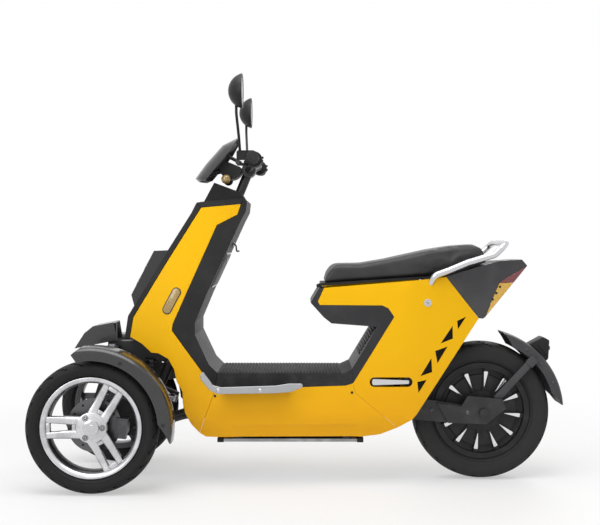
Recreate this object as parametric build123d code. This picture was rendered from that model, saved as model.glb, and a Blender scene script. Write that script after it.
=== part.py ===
from build123d import *
from math import cos, radians, sin, tan
import os

# Electric three-wheeled scooter: two steered front wheels, one driven rear wheel.
# Millimetres. The front faces -X, the left side -Y, +Z is up and the floor is Z 0.
# The origin is on the floor at the middle of the overall length.

# Main sizes
WHEELBASE = 1290
SEAT_HEIGHT = 760
TRACK = 530
RAKE = 22.5

# Tyres and rims
FRONT_TYRE_R = 216
FRONT_TYRE_WIDTH = 90
REAR_TYRE_R = 236
REAR_TYRE_WIDTH = 120
CROWN_DROP = 17
SHOULDER_INSET = 3
BEAD_R = 152.4
FLANGE_R = 164
FLANGE_THICKNESS = 6
BARREL_WALL = 7
FRONT_RIM_WIDTH = 72
REAR_RIM_WIDTH = 96
SEAT_FIT = 0.3

# Front wheel
SPOKE_COUNT = 3
SPOKE_BAR_WIDTH = 27
SPOKE_SLOT_WIDTH = 22
SPOKE_DEPTH = 18
SPOKE_SLOT_START = 56
SPOKE_SLOT_END = 140
SPOKE_SETBACK = 4
HUB_R = 26
HUB_FACE_R = 52
HUB_FACE_DEPTH = 20
HUB_FACE_OFFSET = 30
HUB_CAP_R = 27
HUB_CAP_DEPTH = 8
HUB_BORE_R = 10.3
DISC_R = 88
DISC_THICKNESS = 4
DISC_OFFSET = 26
DISC_FLANGE_R = 38
DISC_FLANGE_DEPTH = 8
DISC_HOLE_R = 4
DISC_HOLE_COUNT = 12
DISC_HOLE_CIRCLE_R = 74
WHEEL_BOLT_R = 7
WHEEL_BOLT_HEAD = 4
WHEEL_BOLT_CIRCLE_R = 39

# Knuckle, caliper and steering arm
KINGPIN_SETBACK = 20
KINGPIN_INSET = 75
KNUCKLE_TOP = 380
KNUCKLE_BOTTOM = 142
KNUCKLE_WIDTH = 34
KNUCKLE_THICKNESS = 24
KNUCKLE_SHOULDER = 14
KINGPIN_R = 8
PIN_FIT = 0.4
ARM_EYE_R = 14
ARM_EYE_HEIGHT = 20
EYE_GAP = 0.5
STUB_BOSS_R = 30
STUB_AXLE_R = 10
STEER_ARM_HEIGHT = 330
STEER_ARM_LENGTH = 62
STEER_ARM_WIDTH = 18
STEER_ARM_THICKNESS = 10
ROD_PIN_R = 6
ROD_EYE_R = 11
ROD_EYE_HEIGHT = 12
ROD_R = 5
CALIPER_LENGTH = 66
CALIPER_DEPTH = 40
CALIPER_HALF = 12
CALIPER_ANGLE = -6
CALIPER_GAP = 2.5

# Front fender
FENDER_R = 262
FENDER_WALL = 4
FENDER_WIDTH = 112
FENDER_FLANGE = 44
FENDER_INNER_FLANGE = 24
FENDER_FRONT_ANGLE = 104
FENDER_REAR_ANGLE = -11
STAY_THICKNESS = 5
STAY_BOSS_R = 14
STAY_HEIGHT = 330

# Frame nose, arms and shock absorbers
NOSE_HALF_WIDTH = 30
ARM_TUBE_R = 9
PIVOT_TUBE_R = 15
PIVOT_TUBE_LENGTH = 30
PIVOT_PIN_R = 6
LUG_R = 5
SHOCK_BODY_R = 11
SHOCK_ROD_R = 7
SHOCK_EYE_R = 12
SHOCK_EYE_LENGTH = 22
SPRING_R = 21
SPRING_WIRE_R = 4
SPRING_TURNS = 6
NOSE_COVER_HALF_WIDTH = 60
POST_HALF_WIDTH = 15

# Steering column and handlebar
COLUMN_R = 16
HEAD_TUBE_R = 28
HEAD_TUBE_FIT = 0.6
HEAD_TUBE_RISE = 145
HEAD_TUBE_FOOT = 392
COLUMN_HOLE_GAP = 6
BAR_R = 11
BAR_RISE = 300
BAR_CLAMP_R = 24
BAR_CLAMP_HALF = 34
BAR_BEND = 40
BAR_RISE_START = 50
BAR_RISE_END = 140
GRIP_R = 17
GRIP_START = 228
GRIP_END = 345
GRIP_RISE = 22
POD_START = 165
POD_R = 25
RESERVOIR_LENGTH = 58
RESERVOIR_WIDTH = 36
RESERVOIR_HEIGHT = 26
LEVER_REACH = 54
LEVER_WIDTH = 11
LEVER_THICKNESS = 9
LEVER_DROP = 12
MIRROR_Y = 292
MIRROR_R = 56
MIRROR_DEPTH = 45
MIRROR_RISE = 212
MIRROR_GLASS_DEPTH = 3
MIRROR_RIM = 3
STEM_R = 4.5
STEM_BEND = 30
STEM_FOOT_Y = 205
FLYSCREEN_HALF_WIDTH = 92
INSTRUMENT_R = 38
INSTRUMENT_HALF_WIDTH = 46
DISPLAY_DEPTH = 14
INDICATOR_R = 16
INDICATOR_LENGTH = 26

# Body
BODY_HALF_WIDTH = 155
BODY_PANEL = 4
BODY_GAP = 0.6
BODY_CLEARANCE = 0.4
COVER_WALL = 4
TUCK_HEIGHT = 215
TUCK_BOTTOM = 140
TUCK_HALF_WIDTH = 118
TAPER_HEIGHT = 640
TAPER_TOP = 1010
TAPER_HALF_WIDTH = 126
NOSE_PLAN_HALF_WIDTH = 112
TAIL_PLAN_HALF_WIDTH = 78
PLAN_BEND = 520
TUCK_BEND = 120
HEADLIGHT_HALF_WIDTH = 78
LENS_DEPTH = 9
LENS_RIM = 8
HEAD_TOWER_HALF_WIDTH = 45
WING_REACH = 52
WING_THICKNESS = 8
TRIM_WALL = 6
BELLY_HALF_WIDTH = 106
INDICATOR_SPLIT = 34

# Frame rails, battery and storage bin
BATTERY_HALF_WIDTH = 92
RAIL_R = 13
REAR_RAIL_R = 12
RAIL_Y = 112
RAIL_BEND = 60
CROSS_R = 10
SUPPORT_R = 8
SUPPORT_Y = 84
BIN_WALL = 4
HANGER_THICKNESS = 6
HANGER_WIDTH = 24

# Seat
SEAT_INSET = 18
SEAT_BASE_INSET = 26
SEAT_BASE_THICKNESS = 8
HINGE_BAR_R = 9
HINGE_R = 5
HINGE_PIN_R = 2.5
HINGE_HALF = 18
HINGE_EAR = 14
HINGE_NOTCH = 7

# Footrests
FOOTREST_LENGTH = 128
FOOTREST_R = 11
FOOTREST_TIP_R = 6
FOOTREST_HEIGHT = 20
FOOTREST_PIN_R = 4
FOOTREST_PIN_Y = 143
FOOTREST_GAP = 6
LUG_PLATE = 5

# Rear end
SWING_ARM_Y = 76
SWING_ARM_THICKNESS = 16
AXLE_COVER_THICKNESS = 10
SWING_TUBE_R = 17
SWING_PIN_R = 8
SWING_BOSS_LENGTH = 30
AXLE_R = 9
AXLE_NUT_R = 14
AXLE_NUT_DEPTH = 10
MOTOR_R = 122
MOTOR_HALF_WIDTH = 30
MOTOR_HUB_R = 68
MOTOR_HUB_HALF_WIDTH = 44
RIB_COUNT = 12
RIB_FOOT_WIDTH = 6
RIB_TIP_WIDTH = 15
RIB_HALF_DEPTH = 38
WELL_GAP = 27
WELL_WALL = 3
WELL_FRONT_ANGLE = 163
WELL_TOP_ANGLE = 104
MUDGUARD_R = 279
MUDGUARD_HALF_WIDTH = 74
MUDGUARD_WALL = 4
MUDGUARD_FLANGE = 36
MUDGUARD_FRONT_ANGLE = 75
MUDGUARD_REAR_ANGLE = 4
STRUT_WIDTH = 24
LAMP_BLOCK_HALF_WIDTH = 34
GRAB_TUBE_R = 11
GRAB_HALF_WIDTH = 146
GRAB_BEND = 30

# Derived places
HEAD_TUBE_TOP = SEAT_HEIGHT + HEAD_TUBE_RISE
BAR_HEIGHT = SEAT_HEIGHT + BAR_RISE
GRIP_HEIGHT = BAR_HEIGHT + GRIP_RISE
MIRROR_HEIGHT = GRIP_HEIGHT + MIRROR_RISE
LENGTH = FRONT_TYRE_R + WHEELBASE + MUDGUARD_R * cos(radians(MUDGUARD_REAR_ANGLE))
X_FRONT = FRONT_TYRE_R - LENGTH / 2
X_REAR = X_FRONT + WHEELBASE
Y_WHEEL = TRACK / 2
Y_KINGPIN = Y_WHEEL - KINGPIN_INSET
PIVOT_Y = NOSE_HALF_WIDTH + PIVOT_TUBE_R + EYE_GAP
SLOPE = tan(radians(RAKE))
AXIS = Vector(sin(radians(RAKE)), 0, cos(radians(RAKE)))
BACKWARDS = Vector(cos(radians(RAKE)), 0, -sin(radians(RAKE)))
LENGTHWISE = Vector(1, 0, 0)
LATERAL = Vector(0, 1, 0)
BIG = LENGTH
FRONT_AXLE = (X_FRONT, -Y_WHEEL, FRONT_TYRE_R)
REAR_AXLE = (X_REAR, 0, REAR_TYRE_R)

# Plan of the body: shares of the wheelbase behind the front axle.
PLAN_SHARES = {"nose": 0.05, "shoulder": 0.19, "hip": 0.80, "tail": 1.13}

# Side points: each is a share of the wheelbase behind the front axle and a share
# of the seat height above the floor.
SIDE_SHARES = {
    "shield top front": (0.263, 1.221),
    "shield top rear": (0.366, 1.237),
    "shield step": (0.357, 1.190),
    "shield notch": (0.304, 1.144),
    "shield notch low": (0.294, 1.105),
    "knee high": (0.190, 0.708),
    "knee low": (0.188, 0.681),
    "deck front": (0.300, 0.421),
    "skirt toe": (0.258, 0.228),
    "arch 1": (0.238, 0.268),
    "arch 2": (0.222, 0.318),
    "arch 3": (0.216, 0.362),
    "arch 4": (0.215, 0.412),
    "arch 5": (0.200, 0.458),
    "arch 6": (0.193, 0.512),
    "arch 7": (0.178, 0.556),
    "arch 8": (0.152, 0.580),
    "arch 9": (0.133, 0.582),
    "arch 10": (0.108, 0.620),
    "shield toe": (0.076, 0.650),
    "shield chin": (0.085, 0.736),
    "fascia top": (0.250, 1.243),
    "fascia brow": (0.237, 1.198),
    "fascia chin": (0.070, 0.743),
    "fascia toe": (0.060, 0.636),
    "cap rear": (0.374, 1.262),
    "tower front": (0.262, 1.247),
    "tower top front": (0.291, 1.338),
    "tower top rear": (0.362, 1.293),
    "cover lip": (0.382, 1.250),
    "cover 1": (0.379, 1.206),
    "cover 2": (0.365, 1.160),
    "cover 3": (0.348, 1.096),
    "cover 4": (0.277, 0.836),
    "cover 5": (0.248, 0.718),
    "cover 6": (0.248, 0.663),
    "cover 7": (0.284, 0.533),
    "deck top front": (0.306, 0.496),
    "deck top rear": (0.630, 0.496),
    "deck rise": (0.653, 0.514),
    "deck corner": (0.656, 0.451),
    "deck rear": (0.636, 0.441),
    "seam top": (0.662, 0.409),
    "seam foot": (0.771, 0.254),
    "skirt 1": (0.727, 0.222),
    "skirt 2": (0.680, 0.211),
    "skirt 3": (0.306, 0.208),
    "skirt 4": (0.274, 0.210),
    "jaw rear": (0.718, 0.698),
    "jaw bottom": (0.600, 0.713),
    "jaw front": (0.580, 0.740),
    "jaw nose": (0.546, 0.804),
    "jaw top": (0.568, 0.868),
    "panel nose top": (0.581, 0.869),
    "panel nose": (0.565, 0.809),
    "panel nose low": (0.570, 0.794),
    "panel jaw 1": (0.731, 0.792),
    "panel jaw 2": (0.747, 0.779),
    "panel jaw 3": (0.762, 0.742),
    "panel top": (0.839, 0.905),
    "panel top rear": (0.898, 0.916),
    "panel tail": (0.985, 0.732),
    "panel heel": (0.821, 0.314),
    "panel heel low": (0.809, 0.291),
    "tail brow": (1.037, 0.985),
    "tail top": (1.101, 0.992),
    "tail tip": (1.116, 0.964),
    "lamp top": (1.053, 0.906),
    "lamp split": (1.040, 0.889),
    "lamp split rear": (1.079, 0.889),
    "lamp low": (1.018, 0.804),
    "lamp foot": (1.003, 0.738),
    "tail foot": (0.996, 0.730),
    "light top": (0.134, 1.031),
    "light top rear": (0.17675, 1.034),
    "light foot": (0.0828, 0.778),
    "light front": (0.074, 0.834),
    "nose tip": (-0.080, 0.590),
    "nose brow": (-0.053, 0.661),
    "nose top": (-0.030, 0.692),
    "nose heel": (0.026, 0.710),
    "nose back": (0.034, 0.628),
    "post low": (0.015, 0.610),
    "post high": (0.025, 0.800),
    "screen 1": (0.354, 1.545),
    "screen 2": (0.312, 1.509),
    "screen 3": (0.267, 1.424),
    "screen 4": (0.238, 1.357),
    "screen 5": (0.247, 1.341),
    "screen 6": (0.266, 1.341),
    "screen 7": (0.282, 1.366),
    "screen 8": (0.316, 1.437),
    "screen 9": (0.349, 1.508),
    "belly 1": (0.303, 0.198),
    "belly 2": (0.307, 0.182),
    "belly 3": (0.676, 0.182),
    "belly 4": (0.684, 0.198),
    "trim 1": (0.265, 0.495),
    "trim 2": (0.273, 0.509),
    "trim 3": (0.298, 0.452),
    "trim 4": (0.317, 0.443),
    "trim 5": (0.457, 0.450),
    "trim 6": (0.492, 0.459),
    "trim 7": (0.523, 0.459),
    "trim 8": (0.527, 0.452),
    "trim 9": (0.525, 0.442),
    "trim 10": (0.496, 0.423),
    "trim 11": (0.457, 0.417),
    "trim 12": (0.310, 0.413),
    "trim 13": (0.290, 0.429),
    "trim 14": (0.267, 0.475),
    "seat 1": (0.572, 0.888),
    "seat 2": (0.582, 0.920),
    "seat 3": (0.600, 0.965),
    "seat 4": (0.614, 0.969),
    "seat 5": (0.679, 0.971),
    "seat 6": (0.743, 0.989),
    "seat 7": (0.859, 1.033),
    "seat 8": (0.919, 1.050),
    "seat 9": (0.987, 1.059),
    "seat 10": (1.000, 1.050),
    "seat 11": (1.012, 1.019),
    "seat 12": (1.006, 0.990),
    "seat 13": (0.960, 0.962),
    "seat 14": (0.905, 0.930),
    "seat 15": (0.847, 0.918),
    "arm 1": (0.745, 0.300),
    "arm 2": (0.745, 0.380),
    "arm 3": (0.868, 0.364),
    "arm 4": (0.942, 0.342),
    "arm 5": (1.030, 0.342),
    "arm 6": (1.030, 0.280),
    "arm 7": (0.908, 0.264),
    "arm 8": (0.824, 0.277),
    "cover plate 1": (0.878, 0.353),
    "cover plate 2": (0.942, 0.338),
    "cover plate 3": (0.959, 0.384),
    "cover plate 4": (1.049, 0.371),
    "cover plate 5": (1.059, 0.328),
    "cover plate 6": (1.007, 0.259),
    "cover plate 7": (0.908, 0.264),
    "bin 1": (0.606, 0.848),
    "bin 2": (0.606, 0.748),
    "bin 3": (0.830, 0.748),
    "bin 4": (0.830, 0.872),
    "swing pivot": (0.762, 0.340),
    "swing bridge": (0.790, 0.375),
    "column": (0.1698, 0.5263),
    "battery low": (0.345, 0.1985),
    "battery high": (0.625, 0.412),
    "hinge": (0.5660, 0.8720),
    "hinge bar": (0.5800, 0.8520),
    "hinge web": (0.5760, 0.8790),
    "footrest": (0.7110, 0.4560),
    "lug front": (0.6820, 0.4560),
    "hanger front": (0.3600, 0.1980),
    "hanger rear": (0.6400, 0.1980),
    "mirror": (0.3767, 1.7026),
    "grip": (0.4039, 1.4237),
    "instrument": (0.3350, 1.4020),
    "indicator": (0.3233, 1.3520),
    "shock top": (0.0220, 0.5980),
    "shock foot": (0.0060, 0.2260),
    "upper pivot front": (0.0480, 0.5290),
    "upper pivot rear": (0.1180, 0.5290),
    "lower pivot front": (-0.0440, 0.2170),
    "lower pivot rear": (0.0480, 0.2170),
    "nose frame 1": (-0.0560, 0.1920),
    "nose frame 2": (-0.0560, 0.2450),
    "nose frame 3": (0.0060, 0.5600),
    "nose frame 4": (0.0060, 0.6210),
    "nose frame 5": (0.1800, 0.6210),
    "nose frame 6": (0.1660, 0.5450),
    "nose frame 7": (0.1200, 0.4950),
    "nose frame 8": (0.0860, 0.2600),
    "nose frame 9": (0.0860, 0.1920),
}

# The triangular windows in each rear panel: corners as shares, one row a window.
VENT_SHARES = [
    [(0.927, 0.722), (0.951, 0.740), (0.929, 0.684)],
    [(0.915, 0.701), (0.916, 0.644), (0.883, 0.623)],
    [(0.869, 0.591), (0.902, 0.610), (0.875, 0.536)],
    [(0.859, 0.560), (0.861, 0.498), (0.830, 0.481)],
    [(0.822, 0.456), (0.847, 0.465), (0.825, 0.407)],
]

# Tube rows on the left: shares of the wheelbase back, of the half spread out and of the seat height.
LOWER_RAIL_SHARES = [(0.078, 0.43, 0.222), (0.215, 0.43, 0.290), (0.330, 1.0, 0.309), (0.775, 1.0, 0.340)]
REAR_RAIL_SHARES = [(0.660, 1.0, 0.333), (0.720, 1.0, 0.640), (0.850, 0.86, 0.842), (0.995, 0.66, 0.905)]
GRAB_RAIL_SHARES = [
    (0.846, 0.80, 0.850),
    (0.866, 1.00, 0.922),
    (0.905, 1.00, 0.946),
    (0.952, 1.00, 0.979),
    (1.022, 1.00, 1.014),
    (1.053, 1.00, 1.066),
]

# The mirror stem: share of the wheelbase back, share of the way out and share of the way up to the mirror.
STEM_SHARES = [(0.3680, 0.0, 0.058), (0.3660, 0.5, 0.345), (0.3620, 1.0, 0.668), (0.3620, 1.0, 0.847)]

# The fender stay: rows of an angle about the axle and a share of the fender's inner radius.
STAY_SHARES = [(62, 0.42), (56, 0.66), (40, 0.985), (24, 0.985), (36, 0.50)]

# The mudguard's strut and the plate lamp's block: rows of an angle about the rear axle and a share of the
# mudguard's radius.
STRUT_SHARES = [(44.0, 0.225), (46.3, 0.910)]
BLOCK_SHARES = [(57.8, 0.868), (49.6, 1.185), (45.4, 1.206), (37.0, 1.043), (36.7, 0.864)]

# Where the lug of a shock absorber stands along the lower arm, and its spring along its length.
SHOCK_FOOT_SHARE = 0.45
SPRING_SHARES = (0.16, 0.72)


def along(share):
    """X at a share of the wheelbase behind the front axle."""
    return X_FRONT + share * WHEELBASE


def side(name):
    """XZ place of a named side point."""
    back, up = SIDE_SHARES[name]
    return (along(back), up * SEAT_HEIGHT)


def place(name, y):
    """Point of a named side point at a distance from the middle."""
    x, z = side(name)
    return Vector(x, y, z)


def numbered(name, count):
    """The XZ places of a run of numbered side points."""
    return [side(f"{name} {i}") for i in range(1, count + 1)]


def polygon(points):
    """Closed face through XZ points."""
    return Plane.XZ * make_face(Polyline(*points, close=True))


def drawn_in(face, gap=BODY_GAP / 2):
    """The face with its edges moved in by a gap."""
    return offset(face, -gap, kind=Kind.INTERSECTION)


def outline(*names):
    """Face through named side points, drawn in by half a gap."""
    return drawn_in(polygon([side(name) for name in names]))


def slab(face, low, high):
    """Solid of an XZ face between two Y values."""
    return Pos(0, high, 0) * extrude(face, high - low, dir=(0, -1, 0))


def wide(face, half_width):
    """Solid of an XZ face, as wide as half_width on both sides of the middle."""
    return slab(face, -half_width, half_width)


def mirrored(part):
    """The same piece on the right-hand side."""
    return mirror(part, about=Plane.XZ)


def pair(part):
    """The piece and its twin on the right-hand side, as one node."""
    return Compound([*part.solids(), *mirrored(part).solids()])


def rod(start, end, radius):
    """Round bar between two points."""
    plane = Plane(origin=start, z_dir=end - start)
    return plane * Cylinder(radius, (end - start).length, align=(Align.CENTER, Align.CENTER, Align.MIN))


def eye(centre, direction, radius, length):
    """Round boss centred on a point."""
    return Plane(origin=centre, z_dir=direction) * Cylinder(radius, length)


def tube_path(points, bend, radius):
    """Round bar along a bent path."""
    path = FilletPolyline(*points, radius=bend)
    return sweep(Plane(origin=path @ 0, z_dir=path % 0) * Circle(radius), path=path)


def ring(outer, inner, low, high):
    """Solid ring about the Y axis between two Y values."""
    body = Rot(90, 0, 0) * Cylinder(outer, high - low)
    if inner:
        body -= Rot(90, 0, 0) * Cylinder(inner, high - low)
    return Pos(0, (low + high) / 2, 0) * body


def turned(profile):
    """Solid of revolution about the Y axis from (radius, y) points."""
    return revolve(make_face(Polyline(*profile, close=True)), axis=Axis.Y)


def raked(origin):
    """Plane square to the steering axis, its X pointing rearwards."""
    return Plane(origin=origin, x_dir=BACKWARDS, z_dir=AXIS)


def on_column(height):
    """Point on the steering column's axis at a height."""
    x, z = side("column")
    return Vector(x + (height - z) * SLOPE, 0, height)


def on_kingpin(height):
    """Point on the left kingpin's axis at a height."""
    return Vector(X_FRONT + KINGPIN_SETBACK + (height - FRONT_TYRE_R) * SLOPE, -Y_KINGPIN, height)


def about(centre, radius, rows):
    """XZ points about a centre from rows of an angle and a share of the radius."""
    x, z = centre
    return [(x + share * radius * cos(radians(angle)), z + share * radius * sin(radians(angle)))
            for angle, share in rows]


def arc_band(centre, outer, inner, start, end):
    """Ring sector in the XZ plane, its angles counted from +X towards +Z."""
    steps = 6
    angles = [radians(start + (end - start) * i / steps) for i in range(steps + 1)]
    reach = 2 * outer
    sector = make_face(Polyline((0, 0), *[(reach * cos(a), reach * sin(a)) for a in angles], close=True))
    band = Circle(outer) - Circle(inner)
    return Pos(centre[0], 0, centre[1]) * (Plane.XZ * (band & sector))


def rounded(points, bends, flip_a, flip_b):
    """Face between a line of points and its mirror image, each corner rounded by its own bend."""
    edge = points + [(flip_a * a, flip_b * b) for a, b in reversed(points)]
    face = make_face(Polyline(*edge, close=True))
    for (a, b), bend in zip(points, bends):
        if bend:
            corners = [v for v in face.vertices()
                       if abs(abs(v.X) - abs(a)) < BODY_GAP and abs(abs(v.Y) - abs(b)) < BODY_GAP]
            face = fillet(corners, bend)
    return face


def body_form(inset):
    """The body's form, a section along X cut by a plan along Z, with its sides drawn in."""
    section = [
        (TUCK_HALF_WIDTH - inset, -BIG),
        (TUCK_HALF_WIDTH - inset, TUCK_BOTTOM),
        (BODY_HALF_WIDTH - inset, TUCK_HEIGHT),
        (BODY_HALF_WIDTH - inset, TAPER_HEIGHT),
        (TAPER_HALF_WIDTH - inset, TAPER_TOP),
        (TAPER_HALF_WIDTH - inset, BIG),
    ]
    plan = [
        (-BIG, NOSE_PLAN_HALF_WIDTH - inset),
        (along(PLAN_SHARES["nose"]), NOSE_PLAN_HALF_WIDTH - inset),
        (along(PLAN_SHARES["shoulder"]), BODY_HALF_WIDTH - inset),
        (along(PLAN_SHARES["hip"]), BODY_HALF_WIDTH - inset),
        (along(PLAN_SHARES["tail"]), TAIL_PLAN_HALF_WIDTH - inset),
        (BIG, TAIL_PLAN_HALF_WIDTH - inset),
    ]
    section_bends = [0, TUCK_BEND, TUCK_BEND, 0, 0, 0]
    plan_bends = [0, 0, PLAN_BEND, PLAN_BEND, 0, 0]
    lengthwise = extrude(Plane.YZ * rounded(section, section_bends, -1, 1), BIG, both=True)
    return lengthwise & extrude(rounded(plan, plan_bends, 1, -1), BIG, both=True)


OUTER = body_form(0)
INNER = body_form(BODY_PANEL)
CORE = body_form(BODY_PANEL + BODY_CLEARANCE)
WALL = OUTER - INNER


def panel(face):
    """Left-hand panel: the body's wall inside a side outline."""
    return WALL & slab(face, -BIG, 0)


def shell(face, back, up):
    """Full-width cover inside a side outline, hollowed by the same outline moved back and up."""
    hollow = CORE & wide(Pos(back, 0, up) * face, BIG)
    return (OUTER & wide(face, BIG)) - hollow


def front_panel():
    return panel(outline(
        "shield top front", "shield top rear", "shield step", "shield notch", "shield notch low",
        "knee high", "knee low", "deck front", "skirt toe", "arch 1", "arch 2", "arch 3", "arch 4",
        "arch 5", "arch 6", "arch 7", "arch 8", "arch 9", "arch 10", "shield toe", "shield chin",
    ))


def skirt():
    return panel(outline(
        "deck front", "deck rear", "deck corner", "seam top", "seam foot", "skirt 1", "skirt 2",
        "skirt 3", "skirt 4", "skirt toe",
    ))


def grab_rail_points():
    left = [(along(back), -out * GRAB_HALF_WIDTH, up * SEAT_HEIGHT) for back, out, up in GRAB_RAIL_SHARES]
    return left + [(x, -y, z) for x, y, z in reversed(left)]


def rear_rail(radius):
    return tube_path(rail_points(REAR_RAIL_SHARES), RAIL_BEND, radius)


def grab_rail():
    points = grab_rail_points()
    rail = tube_path(points, GRAB_BEND, GRAB_TUBE_R)
    x, _, z = points[len(GRAB_RAIL_SHARES)]
    reach = GRAB_HALF_WIDTH - GRAB_BEND
    ends = (Vector(x, -reach, z), Vector(x, reach, z))
    rail = rail - rod(*ends, 2 * GRAB_TUBE_R) + rod(*ends, GRAB_TUBE_R)
    seat_cut = rear_rail(REAR_RAIL_R + SEAT_FIT)
    return rail - seat_cut - mirrored(seat_cut)


def footrest_slot():
    """Side opening round a folded footrest."""
    span = FOOTREST_LENGTH - FOOTREST_R - FOOTREST_TIP_R
    slot = SlotCenterToCenter(span, FOOTREST_HEIGHT + 2 * FOOTREST_GAP)
    x, z = side("footrest")
    return Plane.XZ * (Pos(x + span / 2, z) * slot)


def rear_panel():
    wall = panel(outline(
        "panel nose top", "panel top", "panel top rear", "panel tail", "panel heel",
        "panel heel low", "seam foot", "seam top", "deck corner", "panel jaw 3", "panel jaw 2",
        "panel jaw 1", "panel nose low", "panel nose",
    ))
    for corners in VENT_SHARES:
        window = polygon([(along(back), up * SEAT_HEIGHT) for back, up in corners])
        wall -= slab(window, -BIG, 0)
    wall -= slab(footrest_slot(), -BIG, 0)
    return wall - tube_path(grab_rail_points(), GRAB_BEND, GRAB_TUBE_R + BODY_GAP)


def front_fascia():
    return OUTER & wide(outline("fascia top", "shield top front", "shield chin", "shield toe",
                                "fascia toe", "fascia chin", "fascia brow"), BIG)


def headlight():
    """Headlight housing and the lens let into its front."""
    face = outline("light top", "light top rear", "light foot", "light front")
    lens_half = HEADLIGHT_HALF_WIDTH - LENS_RIM
    lens = wide(face - Pos(LENS_DEPTH, 0, 0) * face, lens_half)
    seat_cut = face - Pos(LENS_DEPTH + SEAT_FIT, 0, 0) * face
    return wide(face, HEADLIGHT_HALF_WIDTH) - wide(seat_cut, lens_half + SEAT_FIT), lens


def head_cover():
    cap = outline("fascia top", "tower front", "cap rear", "shield top rear", "shield top front")
    tower = outline("tower front", "tower top front", "tower top rear", "cap rear", "shield top rear",
                    "shield top front")
    cover = (OUTER & wide(cap, BIG)) + wide(tower, HEAD_TOWER_HALF_WIDTH)
    return cover - rod(on_column(HEAD_TUBE_FOOT), on_column(BIG), COLUMN_R + COLUMN_HOLE_GAP)


def inner_legshield():
    return shell(outline(
        "cover lip", "cover 1", "cover 2", "cover 3", "cover 4", "cover 5", "cover 6", "cover 7",
        "deck top front", "deck front", "knee low", "knee high", "shield notch low", "shield notch",
        "shield step", "shield top rear", "cap rear",
    ), -COVER_WALL, -COVER_WALL / 2)


def footboard():
    """Floor between the leg shield and the seat, with a wing on each side."""
    deck = shell(outline("deck top front", "deck top rear", "deck rise", "deck corner", "deck rear",
                         "deck front"), 0, -COVER_WALL)
    front, rear = side("deck front"), side("deck rear")
    rise = (rear[1] - front[1]) / (rear[0] - front[0])
    ends = (side("trim 4")[0], side("trim 10")[0])
    bottom = [(x, front[1] + (x - front[0]) * rise + BODY_GAP) for x in ends]
    top = [(x, z + WING_THICKNESS) for x, z in reversed(bottom)]
    wing = slab(polygon(bottom + top), -BODY_HALF_WIDTH - WING_REACH, -BODY_HALF_WIDTH + BODY_PANEL)
    return deck + wing + mirrored(wing)


def foot_trim():
    outer = BODY_HALF_WIDTH + WING_REACH + SEAT_FIT
    return slab(polygon(numbered("trim", 14)), -outer - TRIM_WALL, -outer)


def underseat_cover():
    """Cover below the front of the seat, notched round the seat's hinge."""
    cover = shell(outline("jaw nose", "jaw front", "jaw bottom", "jaw rear", "deck rise", "deck corner",
                          "panel jaw 3", "panel jaw 2", "panel jaw 1", "panel nose low", "panel nose",
                          "panel nose top", "jaw top"), COVER_WALL, COVER_WALL)
    notch_half = HINGE_HALF + HINGE_EAR + 2 * EYE_GAP
    return cover - eye(place("hinge", 0), LATERAL, HINGE_R + HINGE_NOTCH, 2 * notch_half)


def belly_plate():
    return wide(drawn_in(polygon(numbered("belly", 4))), BELLY_HALF_WIDTH)


def battery_block():
    (x0, z0), (x1, z1) = side("battery low"), side("battery high")
    return wide(polygon([(x0, z0), (x1, z0), (x1, z1), (x0, z1)]), BATTERY_HALF_WIDTH)


def storage_bin():
    """Open tray under the seat, between the seat's support tubes."""
    face = polygon(numbered("bin", 4))
    half = SUPPORT_Y - SUPPORT_R - SEAT_FIT
    inside = drawn_in(face, BIN_WALL)
    opened = inside + Pos(0, 0, 2 * BIN_WALL) * inside
    return wide(face, half) - wide(opened, half - BIN_WALL)


def tail():
    """Tail cover with the lamp and the left indicator let into its rear edge."""
    face = outline("panel top rear", "tail brow", "tail top", "tail tip", "lamp foot", "tail foot",
                   "panel tail")
    red = outline("lamp top", "tail tip", "lamp split rear", "lamp split")
    amber = outline("lamp split", "lamp split rear", "lamp foot", "lamp low")
    lamp = OUTER & wide(red, BIG)
    indicator = OUTER & slab(amber, -BIG, -INDICATOR_SPLIT)
    cover = (OUTER & wide(face, BIG)) - (CORE & wide(Pos(-COVER_WALL, 0, -COVER_WALL) * face, BIG))
    cover -= wide(drawn_in(red, -BODY_GAP), BIG)
    amber_cut = drawn_in(amber, -BODY_GAP)
    cover -= slab(amber_cut, -BIG, -INDICATOR_SPLIT + BODY_GAP)
    cover -= slab(amber_cut, INDICATOR_SPLIT - BODY_GAP, BIG)
    return cover, lamp, indicator


def wheel_well():
    radius = REAR_TYRE_R + WELL_GAP + WELL_WALL
    band = arc_band((X_REAR, REAR_TYRE_R), radius, radius - WELL_WALL, WELL_TOP_ANGLE, WELL_FRONT_ANGLE)
    return CORE & wide(band, BIG)


def seat():
    """Seat base with its hinge barrel, and the cushion on it."""
    points = numbered("seat", 15)
    under = [points[0], *reversed(points[11:])]
    low = [(x, z - SEAT_BASE_THICKNESS) for x, z in reversed(under)]
    base = body_form(SEAT_BASE_INSET) & wide(polygon(under + low), BIG)
    (x0, z0), (x1, z1) = side("hinge"), side("hinge web")
    web = polygon([(x0, z0), (x1, z0), (x1, z1 + HINGE_R), (x0, z0 + HINGE_R)])
    hinge = place("hinge", 0)
    base += wide(web, HINGE_HALF) + eye(hinge, LATERAL, HINGE_R, 2 * HINGE_HALF)
    base -= eye(hinge, LATERAL, HINGE_PIN_R + PIN_FIT, BIG)
    top = points[1:11] + [(x, z + SEAT_FIT) for x, z in reversed(under)]
    return base, body_form(SEAT_INSET) & wide(polygon(top), BIG)


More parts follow.
